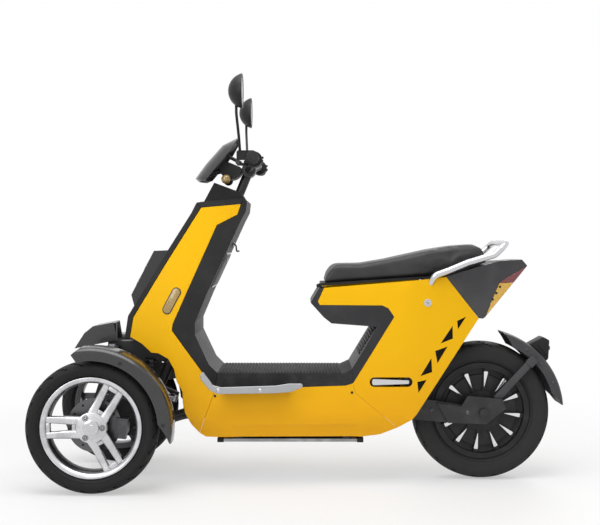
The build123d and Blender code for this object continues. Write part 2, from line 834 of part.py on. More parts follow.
def tyre(radius, width, rim_width):
    """Solid tyre with a round crown, seated in its rim."""
    foot = BEAD_R + SEAT_FIT
    neck = FLANGE_R + SEAT_FIT
    bead = rim_width / 2 - FLANGE_THICKNESS - SEAT_FIT
    lip = rim_width / 2
    half = width / 2
    belly = (radius + neck) / 2
    shoulder = radius - CROWN_DROP
    edge = half - SHOULDER_INSET
    lip_r = neck + FLANGE_THICKNESS
    left = Polyline((foot, bead), (neck, bead), (lip_r, lip), (belly, half), (shoulder, edge))
    crown = ThreePointArc((shoulder, edge), (radius, 0), (shoulder, -edge))
    right = Polyline((shoulder, -edge), (belly, -half), (lip_r, -lip), (neck, -bead), (foot, -bead))
    base = Line((foot, -bead), (foot, bead))
    return revolve(make_face(left + crown + right + base), axis=Axis.Y)


def rim_barrel(width):
    """Rim barrel with its two flanges, about the Y axis."""
    half = width / 2
    lip = half - FLANGE_THICKNESS
    inner = BEAD_R - BARREL_WALL
    return turned([(inner, -half), (FLANGE_R, -half), (FLANGE_R, -lip), (BEAD_R, -lip), (BEAD_R, lip),
                   (FLANGE_R, lip), (FLANGE_R, half), (inner, half)])


def front_rim():
    """Left front rim with three double spokes."""
    face = -HUB_FACE_OFFSET
    rim = rim_barrel(FRONT_RIM_WIDTH)
    rim += ring(HUB_FACE_R, 0, face, face + HUB_FACE_DEPTH)
    rim += ring(HUB_CAP_R, 0, face - HUB_CAP_DEPTH, face)
    rim += ring(HUB_R, 0, face, DISC_OFFSET + DISC_THICKNESS)
    rim += ring(DISC_FLANGE_R, 0, DISC_OFFSET - DISC_FLANGE_DEPTH, DISC_OFFSET)
    half = SPOKE_BAR_WIDTH + SPOKE_SLOT_WIDTH / 2
    slot_half = SPOKE_SLOT_WIDTH / 2
    reach = BEAD_R - BARREL_WALL / 2
    bar = polygon([(0, -half), (reach, -half), (reach, half), (0, half)])
    slot = polygon([(SPOKE_SLOT_START, -slot_half), (SPOKE_SLOT_END, -slot_half),
                    (SPOKE_SLOT_END, slot_half), (SPOKE_SLOT_START, slot_half)])
    spoke = slab(bar - slot, face + SPOKE_SETBACK, face + SPOKE_SETBACK + SPOKE_DEPTH)
    spoke &= ring(reach, 0, face, 0)
    bolt = eye(Vector(WHEEL_BOLT_CIRCLE_R, face, 0), LATERAL, WHEEL_BOLT_R, 2 * WHEEL_BOLT_HEAD)
    for i in range(SPOKE_COUNT):
        turn = 360 * i / SPOKE_COUNT
        rim += Rot(0, -turn - 180 / SPOKE_COUNT, 0) * spoke
        rim += Rot(0, -turn, 0) * bolt
    return Pos(*FRONT_AXLE) * (rim - ring(HUB_BORE_R, 0, face, DISC_R))


def front_disc():
    disc = ring(DISC_R, HUB_R + SEAT_FIT, DISC_OFFSET + SEAT_FIT, DISC_OFFSET + DISC_THICKNESS)
    hole = eye(Vector(DISC_HOLE_CIRCLE_R, DISC_OFFSET, 0), LATERAL, DISC_HOLE_R, 4 * DISC_THICKNESS)
    for i in range(DISC_HOLE_COUNT):
        disc -= Rot(0, 360 * i / DISC_HOLE_COUNT, 0) * hole
    return Pos(*FRONT_AXLE) * disc


def steer_arm(origin, drop):
    """Arm square to the steering axis with a rod pin at its end, standing out by drop."""
    arm = Pos(STEER_ARM_LENGTH / 2, 0, 0) * Box(STEER_ARM_LENGTH, STEER_ARM_WIDTH, STEER_ARM_THICKNESS)
    arm = raked(origin) * arm
    end = origin + BACKWARDS * STEER_ARM_LENGTH
    arm += eye(end, AXIS, STEER_ARM_WIDTH / 2, STEER_ARM_THICKNESS)
    return arm + rod(end, end + AXIS * drop, ROD_PIN_R)


ROD_SEAT = STEER_ARM_THICKNESS / 2 + EYE_GAP + ROD_EYE_HEIGHT / 2
ROD_STACK = ROD_EYE_HEIGHT + EYE_GAP
# The pitman arm's height keeps both tie rods square to the steering axis.
RISE = (on_kingpin(STEER_ARM_HEIGHT) - on_column(0)).dot(AXIS) + 2 * ROD_SEAT + ROD_STACK / 2
PITMAN_HEIGHT = RISE * cos(radians(RAKE))
KNUCKLE_ROD_EYE = on_kingpin(STEER_ARM_HEIGHT) + BACKWARDS * STEER_ARM_LENGTH + AXIS * ROD_SEAT
PITMAN_PIN = on_column(PITMAN_HEIGHT) + BACKWARDS * STEER_ARM_LENGTH


def caliper():
    """Caliper over the rear of the disc, on an arm from the knuckle, about the wheel's centre."""
    disc_y = DISC_OFFSET + DISC_THICKNESS / 2
    free = DISC_THICKNESS / 2 + CALIPER_GAP
    x0, x1 = DISC_R - CALIPER_DEPTH / 2, DISC_R + CALIPER_DEPTH / 2
    half = CALIPER_LENGTH / 2
    block = slab(polygon([(x0, -half), (x1, -half), (x1, half), (x0, half)]),
                 disc_y - CALIPER_HALF, disc_y + CALIPER_HALF)
    block -= ring(DISC_R + CALIPER_GAP, 0, disc_y - free, disc_y + free)
    half = KNUCKLE_WIDTH / 2
    arm = slab(polygon([(0, -half), (x1, -half), (x1, half), (0, half)]), disc_y + free, KINGPIN_INSET)
    return Pos(*FRONT_AXLE) * (Rot(0, -CALIPER_ANGLE, 0) * (block + arm))


def stay():
    """Plate from the knuckle to the inside of the fender."""
    radius = FENDER_R - FENDER_WALL
    points = about((X_FRONT, FRONT_TYRE_R), radius, STAY_SHARES)
    outer = Y_WHEEL - FENDER_WIDTH / 2 - SEAT_FIT
    boss = on_kingpin(STAY_HEIGHT)
    boss = rod(boss, Vector(boss.X, -outer, boss.Z), STAY_BOSS_R)
    return slab(polygon(points), -outer, -outer + STAY_THICKNESS) + boss


def knuckle():
    """Left knuckle: upright, kingpin ends, stub axle, steering arm, caliper and fender stay."""
    low, high = on_kingpin(KNUCKLE_BOTTOM), on_kingpin(KNUCKLE_TOP)
    foot = low + AXIS * KNUCKLE_SHOULDER
    body = raked((foot + high) / 2) * Box(KNUCKLE_WIDTH, KNUCKLE_THICKNESS, (high - foot).length)
    reach = ARM_EYE_HEIGHT + 2 * EYE_GAP
    body += rod(low - AXIS * reach, high + AXIS * reach, KINGPIN_R)
    centre = Vector(X_FRONT, 0, FRONT_TYRE_R)
    inner = LATERAL * (-Y_KINGPIN + KNUCKLE_THICKNESS / 2)
    outer = LATERAL * (-Y_KINGPIN - KNUCKLE_THICKNESS / 2)
    axle_end = LATERAL * (-Y_WHEEL - HUB_FACE_OFFSET + 2 * EYE_GAP)
    body += rod(centre + inner, centre + outer, STUB_BOSS_R)
    body += rod(centre + outer, centre + axle_end, STUB_AXLE_R)
    body += steer_arm(on_kingpin(STEER_ARM_HEIGHT), ROD_SEAT + ROD_EYE_HEIGHT)
    return body + caliper() + stay()


def fender():
    """Left fender: a crown with a deep flange outside and a shallow one inside."""
    centre = (X_FRONT, FRONT_TYRE_R)
    outer, inner = Y_WHEEL + FENDER_WIDTH / 2, Y_WHEEL - FENDER_WIDTH / 2
    angles = (FENDER_REAR_ANGLE, FENDER_FRONT_ANGLE)
    body = slab(arc_band(centre, FENDER_R, FENDER_R - FENDER_WALL, *angles), -outer, -inner)
    body += slab(arc_band(centre, FENDER_R, FENDER_R - FENDER_FLANGE, *angles), -outer, -outer + FENDER_WALL)
    return body + slab(arc_band(centre, FENDER_R, FENDER_R - FENDER_INNER_FLANGE, *angles),
                       -inner - FENDER_WALL, -inner)


def tie_rod(outer, stack):
    """Tie rod to a knuckle's eye from its place in the stack under the pitman arm."""
    inner = PITMAN_PIN - AXIS * (ROD_SEAT + stack * ROD_STACK)
    body = rod(inner, outer, ROD_R)
    for centre in (inner, outer):
        body += eye(centre, AXIS, ROD_EYE_R, ROD_EYE_HEIGHT)
    for centre in (inner, outer):
        body -= eye(centre, AXIS, ROD_PIN_R + PIN_FIT, 2 * ROD_EYE_HEIGHT)
    return body


def steering_column():
    """Column with the handlebar clamp on top and the pitman arm at its foot."""
    foot, top = on_column(PITMAN_HEIGHT), on_column(BAR_HEIGHT)
    column = rod(foot - AXIS * (STEER_ARM_THICKNESS / 2), top, COLUMN_R)
    column += eye(top, LATERAL, BAR_CLAMP_R, 2 * BAR_CLAMP_HALF)
    column += steer_arm(foot, -(ROD_SEAT + ROD_STACK + ROD_EYE_HEIGHT))
    return column - eye(top, LATERAL, BAR_R + SEAT_FIT, BIG)


def handlebar():
    x = side("grip")[0]
    low = on_column(BAR_HEIGHT)
    left = [(x, -GRIP_END + BAR_R, GRIP_HEIGHT), (x, -BAR_RISE_END, GRIP_HEIGHT)]
    left.append((low.X, -BAR_RISE_START, low.Z))
    return tube_path(left + [(bx, -y, z) for bx, y, z in reversed(left)], BAR_BEND, BAR_R)


def grip_line(y):
    """Point on the line of the grips."""
    return Vector(side("grip")[0], y, GRIP_HEIGHT)


def grip():
    body = rod(grip_line(-GRIP_END), grip_line(-GRIP_START), GRIP_R)
    return body - rod(grip_line(-GRIP_END + BAR_R - SEAT_FIT), grip_line(0), BAR_R + SEAT_FIT)


def switch_pod():
    """Switch housing round the bar, with the brake's reservoir in front."""
    body = rod(grip_line(-GRIP_START + EYE_GAP), grip_line(-POD_START), POD_R)
    seated = (Align.MAX, Align.CENTER, Align.MIN)
    tank = Box(RESERVOIR_LENGTH, RESERVOIR_WIDTH, RESERVOIR_HEIGHT, align=seated)
    body += Pos(*grip_line(-STEM_FOOT_Y)) * tank
    return body - rod(grip_line(-BIG), grip_line(0), BAR_R + SEAT_FIT)


def brake_lever():
    x, z = side("grip")[0], GRIP_HEIGHT - LEVER_DROP
    root, front = x - POD_R + LEVER_THICKNESS, x - LEVER_REACH
    inner, knee, end = GRIP_START - 2 * GRIP_R, GRIP_START, GRIP_END - GRIP_R / 2
    points = [(root, -inner), (front, -knee), (front, -end), (front + LEVER_WIDTH, -end),
              (front + LEVER_WIDTH, -knee), (root, -inner - GRIP_R)]
    blade = extrude(make_face(Polyline(*points, close=True)), LEVER_THICKNESS)
    return Pos(0, 0, z - LEVER_THICKNESS) * blade - rod(grip_line(-BIG), grip_line(0), POD_R + SEAT_FIT)


def mirror_parts():
    """Left mirror: a domed housing on its stem, and the glass let into its rear face."""
    x = side("mirror")[0]
    sphere_r = (MIRROR_R ** 2 + MIRROR_DEPTH ** 2) / (2 * MIRROR_DEPTH)
    dome = Pos(x - MIRROR_DEPTH + sphere_r, 0, 0) * Sphere(sphere_r)
    dome &= Pos(x, 0, 0) * Box(BIG, BIG, BIG, align=(Align.MAX, Align.CENTER, Align.CENTER))
    seat_move = Pos(0, -MIRROR_Y, MIRROR_HEIGHT)
    glass_r = MIRROR_R - MIRROR_RIM
    recess = eye(Vector(x, 0, 0), LENGTHWISE, glass_r, 2 * MIRROR_GLASS_DEPTH)
    glass = eye(Vector(x - MIRROR_GLASS_DEPTH / 2, 0, 0), LENGTHWISE, glass_r - SEAT_FIT,
                MIRROR_GLASS_DEPTH - SEAT_FIT)
    spread = MIRROR_Y - STEM_FOOT_Y
    points = [(along(back), -STEM_FOOT_Y - out * spread, GRIP_HEIGHT + up * MIRROR_RISE)
              for back, out, up in STEM_SHARES]
    tank_top = GRIP_HEIGHT + RESERVOIR_HEIGHT + SEAT_FIT
    below = Box(BIG, BIG, BIG, align=(Align.CENTER, Align.CENTER, Align.MAX))
    stem = tube_path(points, STEM_BEND, STEM_R) - seat_move * dome - Pos(0, 0, tank_top) * below
    return seat_move * (dome - recess) + stem, seat_move * glass


def flyscreen():
    return wide(drawn_in(polygon(numbered("screen", 9))), FLYSCREEN_HALF_WIDTH)


def instrument_pod():
    centre = place("instrument", 0)
    body = eye(centre, LATERAL, INSTRUMENT_R, 2 * INSTRUMENT_HALF_WIDTH)
    above = Box(BIG, BIG, BIG, align=(Align.CENTER, Align.CENTER, Align.MIN))
    body -= raked(centre + AXIS * DISPLAY_DEPTH) * above
    body -= eye(on_column(BAR_HEIGHT), LATERAL, BAR_CLAMP_R + SEAT_FIT, BIG)
    return body - wide(polygon(numbered("screen", 9)), BIG)


def front_indicator():
    y = -INSTRUMENT_HALF_WIDTH - SEAT_FIT - INDICATOR_LENGTH / 2
    return eye(place("indicator", y), LATERAL, INDICATOR_R, INDICATOR_LENGTH)


def nose_cover_face():
    return outline("nose tip", "nose brow", "nose top", "nose heel", "nose back")


def nose_cover():
    face = nose_cover_face()
    hollow = wide(Pos(COVER_WALL, 0, -COVER_WALL) * face, NOSE_COVER_HALF_WIDTH - COVER_WALL)
    return wide(face, NOSE_COVER_HALF_WIDTH) - hollow


def pivot_arm(front, rear, end):
    """Left wishbone from two pivot tubes to the eye on the kingpin."""
    centres = [place(front, -PIVOT_Y), place(rear, -PIVOT_Y)]
    body = eye(end, AXIS, ARM_EYE_R, ARM_EYE_HEIGHT)
    for centre in centres:
        body += eye(centre, LENGTHWISE, PIVOT_TUBE_R, PIVOT_TUBE_LENGTH)
        body += rod(centre, end, ARM_TUBE_R)
    return body


def arm_ends():
    step = ARM_EYE_HEIGHT / 2 + EYE_GAP
    return on_kingpin(KNUCKLE_TOP) + AXIS * step, on_kingpin(KNUCKLE_BOTTOM) - AXIS * step


def arm_bores(front, rear, end):
    bores = eye(end, AXIS, KINGPIN_R + PIN_FIT, 4 * ARM_EYE_HEIGHT)
    for name in (front, rear):
        bores += eye(place(name, -PIVOT_Y), LENGTHWISE, PIVOT_PIN_R, 2 * PIVOT_TUBE_LENGTH)
    return bores


def upper_arm():
    pivots = ("upper pivot front", "upper pivot rear")
    return pivot_arm(*pivots, arm_ends()[0]) - arm_bores(*pivots, arm_ends()[0])


def shock_foot():
    return place("shock foot", -PIVOT_Y - SHOCK_FOOT_SHARE * (Y_KINGPIN - PIVOT_Y))


def lower_arm():
    pivots = ("lower pivot front", "lower pivot rear")
    end = arm_ends()[1]
    body = pivot_arm(*pivots, end)
    ends = [place(name, -PIVOT_Y) for name in pivots]
    low = [start + (end - start) * SHOCK_FOOT_SHARE for start in ends]
    body += rod(low[0], low[1], ARM_TUBE_R)
    body += pin_lug(shock_foot(), SHOCK_EYE_LENGTH, lambda x: Vector(x, shock_foot().Y, low[0].Z))
    return body - arm_bores(*pivots, end)


def pin_lug(centre, length, foot):
    """Pin along X through an eye, on two rods from the feet that carry it."""
    pin_r = PIVOT_PIN_R - SEAT_FIT
    reach = length / 2 + EYE_GAP + LUG_R
    body = eye(centre, LENGTHWISE, pin_r, 2 * reach)
    for x in (centre.X - reach, centre.X + reach):
        body += rod(Vector(x, centre.Y, centre.Z), foot(x), LUG_R)
    return body


def shock(top, foot, eye_r, bore, across):
    """Shock absorber between two eyes, its spring as a stack of coils."""
    span = foot - top
    start, end = (top + span * share for share in SPRING_SHARES)
    middle = (start + end) / 2
    body = rod(top, middle, SHOCK_BODY_R) + rod(middle, foot, SHOCK_ROD_R)
    for i in range(SPRING_TURNS):
        centre = start + (end - start) * (i / (SPRING_TURNS - 1))
        body += eye(centre, span, SPRING_R, 2 * SPRING_WIRE_R)
    for centre in (top, foot):
        body += eye(centre, across, eye_r, SHOCK_EYE_LENGTH)
    for centre in (top, foot):
        body -= eye(centre, across, bore, 2 * SHOCK_EYE_LENGTH)
    return body


def front_shock():
    top = place("shock top", -PIVOT_Y - PIVOT_TUBE_R)
    return shock(top, shock_foot(), SHOCK_EYE_R, PIVOT_PIN_R, LENGTHWISE)


def rear_shock():
    x, y, z = rail_points(REAR_RAIL_SHARES)[1]
    return shock(Vector(x, 0, z), place("swing bridge", 0), CROSS_R + LUG_R, CROSS_R + SEAT_FIT, LATERAL)


def rail_points(rows):
    return [(along(back), -out * RAIL_Y, up * SEAT_HEIGHT) for back, out, up in rows]


def cross_bar(rows, index, radius=CROSS_R):
    """Tube across the frame at a point of its rails."""
    x, y, z = rail_points(rows)[index]
    return rod(Vector(x, y, z), Vector(x, -y, z), radius)


def nose_frame():
    """Plate nose that carries the arms and the shock absorbers."""
    nose = wide(polygon(numbered("nose frame", 9)), NOSE_HALF_WIDTH)
    pivots = ("upper pivot front", "upper pivot rear", "lower pivot front", "lower pivot rear")
    carried = [(name, PIVOT_Y, PIVOT_TUBE_LENGTH) for name in pivots]
    carried.append(("shock top", PIVOT_Y + PIVOT_TUBE_R, SHOCK_EYE_LENGTH))
    for name, y, length in carried:
        centre = place(name, -y)
        lug = pin_lug(centre, length, lambda x: Vector(x, -NOSE_HALF_WIDTH / 2, centre.Z))
        nose += lug + mirrored(lug)
    strip_low, strip_high = side("post low"), side("post high")
    strip = polygon([strip_low, (strip_high[0], strip_low[1]), strip_high, (strip_low[0], strip_high[1])])
    under = Pos(COVER_WALL + SEAT_FIT, 0, -COVER_WALL - SEAT_FIT) * nose_cover_face()
    nose += wide(strip & under, POST_HALF_WIDTH)
    return nose


def swing_lug():
    """Left boss for the swing arm's pivot pin, and its half of the pin."""
    boss = eye(place("swing pivot", -RAIL_Y), LATERAL, 2 * SWING_PIN_R, SWING_BOSS_LENGTH)
    return boss + rod(place("swing pivot", -RAIL_Y), place("swing pivot", 0), SWING_PIN_R)


def hanger(name):
    """Strap from a rail down to the belly plate."""
    x, z = side(name)
    (x0, _, z0), (x1, _, z1) = rail_points(LOWER_RAIL_SHARES)[2:]
    rail_z = z0 + (z1 - z0) * (x - x0) / (x1 - x0)
    half = HANGER_WIDTH / 2
    face = polygon([(x - half, z), (x + half, z), (x + half, rail_z), (x - half, rail_z)])
    inner = RAIL_Y - RAIL_R - HANGER_THICKNESS / 2
    return slab(face, -inner - HANGER_THICKNESS, -inner)


def footrest_lugs():
    """Two plates and the pin that carry the left footrest."""
    (x0, z), x1 = side("lug front"), side("footrest")[0]
    low = FOOTREST_HEIGHT / 2 + EYE_GAP
    face = make_face(Polyline((x0, -RAIL_Y), (x1 + FOOTREST_R - EYE_GAP, -RAIL_Y),
                              (x1 + FOOTREST_R - EYE_GAP, -FOOTREST_PIN_Y - 2 * FOOTREST_PIN_R + EYE_GAP),
                              (x0, -FOOTREST_PIN_Y + FOOTREST_PIN_R), close=True))
    plate = extrude(face, LUG_PLATE)
    lugs = Pos(0, 0, z + low) * plate + Pos(0, 0, z - low - LUG_PLATE) * plate
    centre = Vector(x1, -FOOTREST_PIN_Y, z)
    return lugs + eye(centre, Vector(0, 0, 1), FOOTREST_PIN_R, 2 * (low + LUG_PLATE))


def footrest():
    """Left footrest: a drop shape that folds flush into the body's side."""
    x, z = side("footrest")
    span = FOOTREST_LENGTH - FOOTREST_R - FOOTREST_TIP_R
    out = FOOTREST_PIN_Y + FOOTREST_R - FOOTREST_TIP_R
    plan = make_hull(((Pos(x, -FOOTREST_PIN_Y) * Circle(FOOTREST_R)).edges()
                      + (Pos(x + span, -out) * Circle(FOOTREST_TIP_R)).edges()))
    tall = make_hull(((Pos(x, z) * Circle(FOOTREST_HEIGHT / 2)).edges()
                      + (Pos(x + span, z) * Circle(FOOTREST_TIP_R)).edges()))
    body = extrude(plan, BIG) & slab(Plane.XZ * tall, -BIG, 0)
    return body - eye(Vector(x, -FOOTREST_PIN_Y, z), Vector(0, 0, 1), FOOTREST_PIN_R + PIN_FIT, BIG)


def seat_support():
    """Left tube and hinge ear under the seat."""
    x, _, z = rail_points(REAR_RAIL_SHARES)[2]
    bar = place("hinge bar", -SUPPORT_Y)
    tubes = rod(Vector(x, -SUPPORT_Y, z), bar, SUPPORT_R)
    tubes += rod(bar - LATERAL * HINGE_BAR_R, place("hinge bar", 0), HINGE_BAR_R)
    middle = HINGE_HALF + EYE_GAP + HINGE_EAR / 2
    hinge = place("hinge", -middle)
    (x0, z0), (x1, z1) = side("hinge"), side("hinge bar")
    web = make_hull(((Pos(x0, z0) * Circle(HINGE_R)).edges() + (Pos(x1, z1) * Circle(HINGE_R)).edges()))
    ear = slab(Plane.XZ * web, -middle - HINGE_EAR / 2, -middle + HINGE_EAR / 2)
    return tubes + ear + rod(hinge, place("hinge", 0), HINGE_PIN_R)


def main_frame():
    """Rails, cross tubes, nose, head tube, pivots, lugs and seat hinge in one welded piece."""
    left = tube_path(rail_points(LOWER_RAIL_SHARES), RAIL_BEND, RAIL_R) + rear_rail(REAR_RAIL_R)
    left += footrest_lugs() + swing_lug() + hanger("hanger front") + hanger("hanger rear") + seat_support()
    frame = left + mirrored(left)
    frame += cross_bar(LOWER_RAIL_SHARES, 0) + cross_bar(LOWER_RAIL_SHARES, 2)
    frame += cross_bar(REAR_RAIL_SHARES, 1) + cross_bar(REAR_RAIL_SHARES, 2) + cross_bar(REAR_RAIL_SHARES, 3)
    foot, top = on_column(HEAD_TUBE_FOOT), on_column(HEAD_TUBE_TOP)
    frame += nose_frame() + rod(foot, top, HEAD_TUBE_R)
    return frame - rod(foot - AXIS * HEAD_TUBE_R, top + AXIS * HEAD_TUBE_R, COLUMN_R + HEAD_TUBE_FIT)


def swing_arm():
    """Two arms joined ahead of the wheel, with the axle, its covers and nuts."""
    inner, outer = SWING_ARM_Y - SWING_ARM_THICKNESS / 2, SWING_ARM_Y + SWING_ARM_THICKNESS / 2
    left = slab(polygon(numbered("arm", 8)), -outer, -inner)
    left += slab(polygon(numbered("cover plate", 7)), -outer - AXLE_COVER_THICKNESS, -outer)
    left += rod(place("swing pivot", -outer), place("swing pivot", 0), SWING_TUBE_R)
    left += rod(place("swing bridge", -outer), place("swing bridge", 0), CROSS_R)
    end = outer + AXLE_COVER_THICKNESS
    centre = Vector(*REAR_AXLE)
    left += rod(centre - LATERAL * end, centre, AXLE_R)
    left += rod(centre - LATERAL * (end + AXLE_NUT_DEPTH), centre - LATERAL * end, AXLE_NUT_R)
    left -= rod(place("swing pivot", -BIG), place("swing pivot", BIG), SWING_PIN_R + PIN_FIT)
    return left + mirrored(left)


def rear_motor():
    """Cast rear wheel: rim barrel, motor drum and twelve ribs tapering to the hub."""
    wheel = rim_barrel(REAR_RIM_WIDTH)
    wheel += ring(MOTOR_R, 0, -MOTOR_HALF_WIDTH, MOTOR_HALF_WIDTH)
    wheel += ring(MOTOR_HUB_R, 0, -MOTOR_HUB_HALF_WIDTH, MOTOR_HUB_HALF_WIDTH)
    reach = BEAD_R - BARREL_WALL / 2
    rib = polygon([(0, -RIB_FOOT_WIDTH / 2), (reach, -RIB_TIP_WIDTH / 2), (reach, RIB_TIP_WIDTH / 2),
                   (0, RIB_FOOT_WIDTH / 2)])
    rib = wide(rib, RIB_HALF_DEPTH)
    for i in range(RIB_COUNT):
        wheel += Rot(0, -360 * (i - 0.25) / RIB_COUNT, 0) * rib
    return Pos(*REAR_AXLE) * (wheel - ring(AXLE_R + SEAT_FIT, 0, -REAR_RIM_WIDTH, REAR_RIM_WIDTH))


def rear_mudguard():
    """Mudguard over the back of the rear tyre, with a strut on each side."""
    centre = (X_REAR, REAR_TYRE_R)
    angles = (MUDGUARD_REAR_ANGLE, MUDGUARD_FRONT_ANGLE)
    half = MUDGUARD_HALF_WIDTH
    body = wide(arc_band(centre, MUDGUARD_R, MUDGUARD_R - MUDGUARD_WALL, *angles), half)
    band = arc_band(centre, MUDGUARD_R, MUDGUARD_R - MUDGUARD_FLANGE, *angles)
    flange = slab(band, -half, -half + MUDGUARD_WALL)
    (x0, z0), (x1, z1) = about(centre, MUDGUARD_R, STRUT_SHARES)
    length = ((x1 - x0) ** 2 + (z1 - z0) ** 2) ** 0.5
    dx, dz = STRUT_WIDTH / 2 * (z1 - z0) / length, STRUT_WIDTH / 2 * (x1 - x0) / length
    face = polygon([(x0 - dx, z0 + dz), (x0 + dx, z0 - dz), (x1 + dx, z1 - dz), (x1 - dx, z1 + dz)])
    outer = SWING_ARM_Y + SWING_ARM_THICKNESS / 2 - SEAT_FIT
    flange += slab(face, -outer, -half)
    return body + flange + mirrored(flange)


def plate_lamp():
    block = wide(polygon(about((X_REAR, REAR_TYRE_R), MUDGUARD_R, BLOCK_SHARES)), LAMP_BLOCK_HALF_WIDTH)
    return block - Pos(*REAR_AXLE) * ring(MUDGUARD_R + SEAT_FIT, 0, -MUDGUARD_R, MUDGUARD_R)


def build():
    """Every node by name: the left-hand ones first, then their mirrored twins."""
    left = {
        "front_panel": front_panel(),
        "skirt": skirt(),
        "rear_panel": rear_panel(),
        "knuckle": knuckle(),
        "fender": fender(),
        "front_tyre": Pos(*FRONT_AXLE) * tyre(FRONT_TYRE_R, FRONT_TYRE_WIDTH, FRONT_RIM_WIDTH),
        "front_rim": front_rim(),
        "front_disc": front_disc(),
        "footrest": footrest(),
    }
    nodes = {f"{name}_left": part for name, part in left.items()}
    nodes.update({f"{name}_right": mirrored(part) for name, part in left.items()})
    right_eye = Vector(KNUCKLE_ROD_EYE.X, -KNUCKLE_ROD_EYE.Y, KNUCKLE_ROD_EYE.Z)
    nodes["tie_rod_left"] = tie_rod(KNUCKLE_ROD_EYE, 0)
    nodes["tie_rod_right"] = tie_rod(right_eye, 1)
    mirror_housing, mirror_glass = mirror_parts()
    nodes["headlight_housing"], nodes["headlight_lens"] = headlight()
    nodes["tail_cover"], nodes["tail_lamp"], rear_indicator = tail()
    nodes["seat_base"], nodes["seat_cushion"] = seat()
    pairs = {
        "foot_trims": foot_trim(),
        "upper_arms": upper_arm(),
        "lower_arms": lower_arm(),
        "front_shocks": front_shock(),
        "rear_indicators": rear_indicator,
        "grips": grip(),
        "switch_pods": switch_pod(),
        "brake_levers": brake_lever(),
        "mirrors": mirror_housing,
        "mirror_glass": mirror_glass,
        "front_indicators": front_indicator(),
    }
    nodes.update({name: pair(part) for name, part in pairs.items()})
    nodes.update({
        "main_frame": main_frame(),
        "battery_block": battery_block(),
        "front_fascia": front_fascia(),
        "head_cover": head_cover(),
        "nose_cover": nose_cover(),
        "inner_legshield": inner_legshield(),
        "footboard": footboard(),
        "underseat_cover": underseat_cover(),
        "storage_bin": storage_bin(),
        "belly_plate": belly_plate(),
        "wheel_well": wheel_well(),
        "grab_rail": grab_rail(),
        "swing_arm": swing_arm(),
        "rear_shock": rear_shock(),
        "rear_mudguard": rear_mudguard(),
        "plate_lamp": plate_lamp(),
        "steering_column": steering_column(),
        "handlebar": handlebar(),
        "flyscreen": flyscreen(),
        "instrument_pod": instrument_pod(),
        "rear_tyre": Pos(*REAR_AXLE) * tyre(REAR_TYRE_R, REAR_TYRE_WIDTH, REAR_RIM_WIDTH),
        "rear_motor": rear_motor(),
    })
    return nodes


os.makedirs("parts", exist_ok=True)
for node, shape in build().items():
    export_step(shape, f"parts/{node}.step")
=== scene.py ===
import bmesh
import bpy
from math import atan2, cos, pi, radians, sin, sqrt
from mathutils import Matrix, Vector
from mathutils.bvhtree import BVHTree


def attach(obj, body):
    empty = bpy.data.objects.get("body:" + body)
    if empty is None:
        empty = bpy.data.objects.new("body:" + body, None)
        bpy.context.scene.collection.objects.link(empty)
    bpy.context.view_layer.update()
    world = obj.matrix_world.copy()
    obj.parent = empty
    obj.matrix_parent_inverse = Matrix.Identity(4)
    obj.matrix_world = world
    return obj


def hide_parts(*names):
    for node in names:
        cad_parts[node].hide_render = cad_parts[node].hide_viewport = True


# Looks of an electric scooter with two front wheels. Metres, the front faces -X, +Z is up.
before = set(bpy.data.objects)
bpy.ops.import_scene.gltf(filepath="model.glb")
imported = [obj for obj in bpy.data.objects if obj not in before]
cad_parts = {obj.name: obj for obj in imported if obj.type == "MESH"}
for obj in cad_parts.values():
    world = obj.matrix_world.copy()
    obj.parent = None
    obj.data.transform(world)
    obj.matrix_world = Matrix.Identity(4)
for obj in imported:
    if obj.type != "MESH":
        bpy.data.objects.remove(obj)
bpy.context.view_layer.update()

WHEELBASE, SEAT_HEIGHT = 1.290, 0.760
FRONT_X = -0.67616
REAR_X = FRONT_X + WHEELBASE
FRONT_HUB = Vector((FRONT_X, -0.265, 0.216))
REAR_HUB = Vector((REAR_X, 0, 0.236))
RAKE = radians(22.5)
MIRRORED = Matrix.Scale(-1, 4, (0, 1, 0))
SIDES = ((-1, "left"), (1, "right"))


def at(back, y, up):
    """A place given as shares of the wheelbase and seat height, with y in metres."""
    return Vector((FRONT_X + back * WHEELBASE, y, up * SEAT_HEIGHT))


def hub_of(side):
    """Centre of the front wheel on a side."""
    return FRONT_HUB if side < 0 else MIRRORED @ FRONT_HUB


# Finishes

class Wire:
    """One output of a shader node; sums on it add Math nodes."""

    def __init__(self, look, socket):
        self.look, self.socket = look, socket

    def maths(self, operation, left, right=0.0):
        return self.look.node("ShaderNodeMath", {"operation": operation}, {0: left, 1: right})

    def __add__(self, other): return self.maths("ADD", self, other)
    def __sub__(self, other): return self.maths("SUBTRACT", self, other)
    def __rsub__(self, other): return self.maths("SUBTRACT", other, self)
    def __mul__(self, other): return self.maths("MULTIPLY", self, other)
    def __pow__(self, other): return self.maths("POWER", self, other)

    def between(self, low, high):
        """0 below low, 1 above high."""
        return self.look.node("ShaderNodeMapRange", {"interpolation_type": "SMOOTHSTEP"},
                              {"Value": self, "From Min": low, "From Max": high})


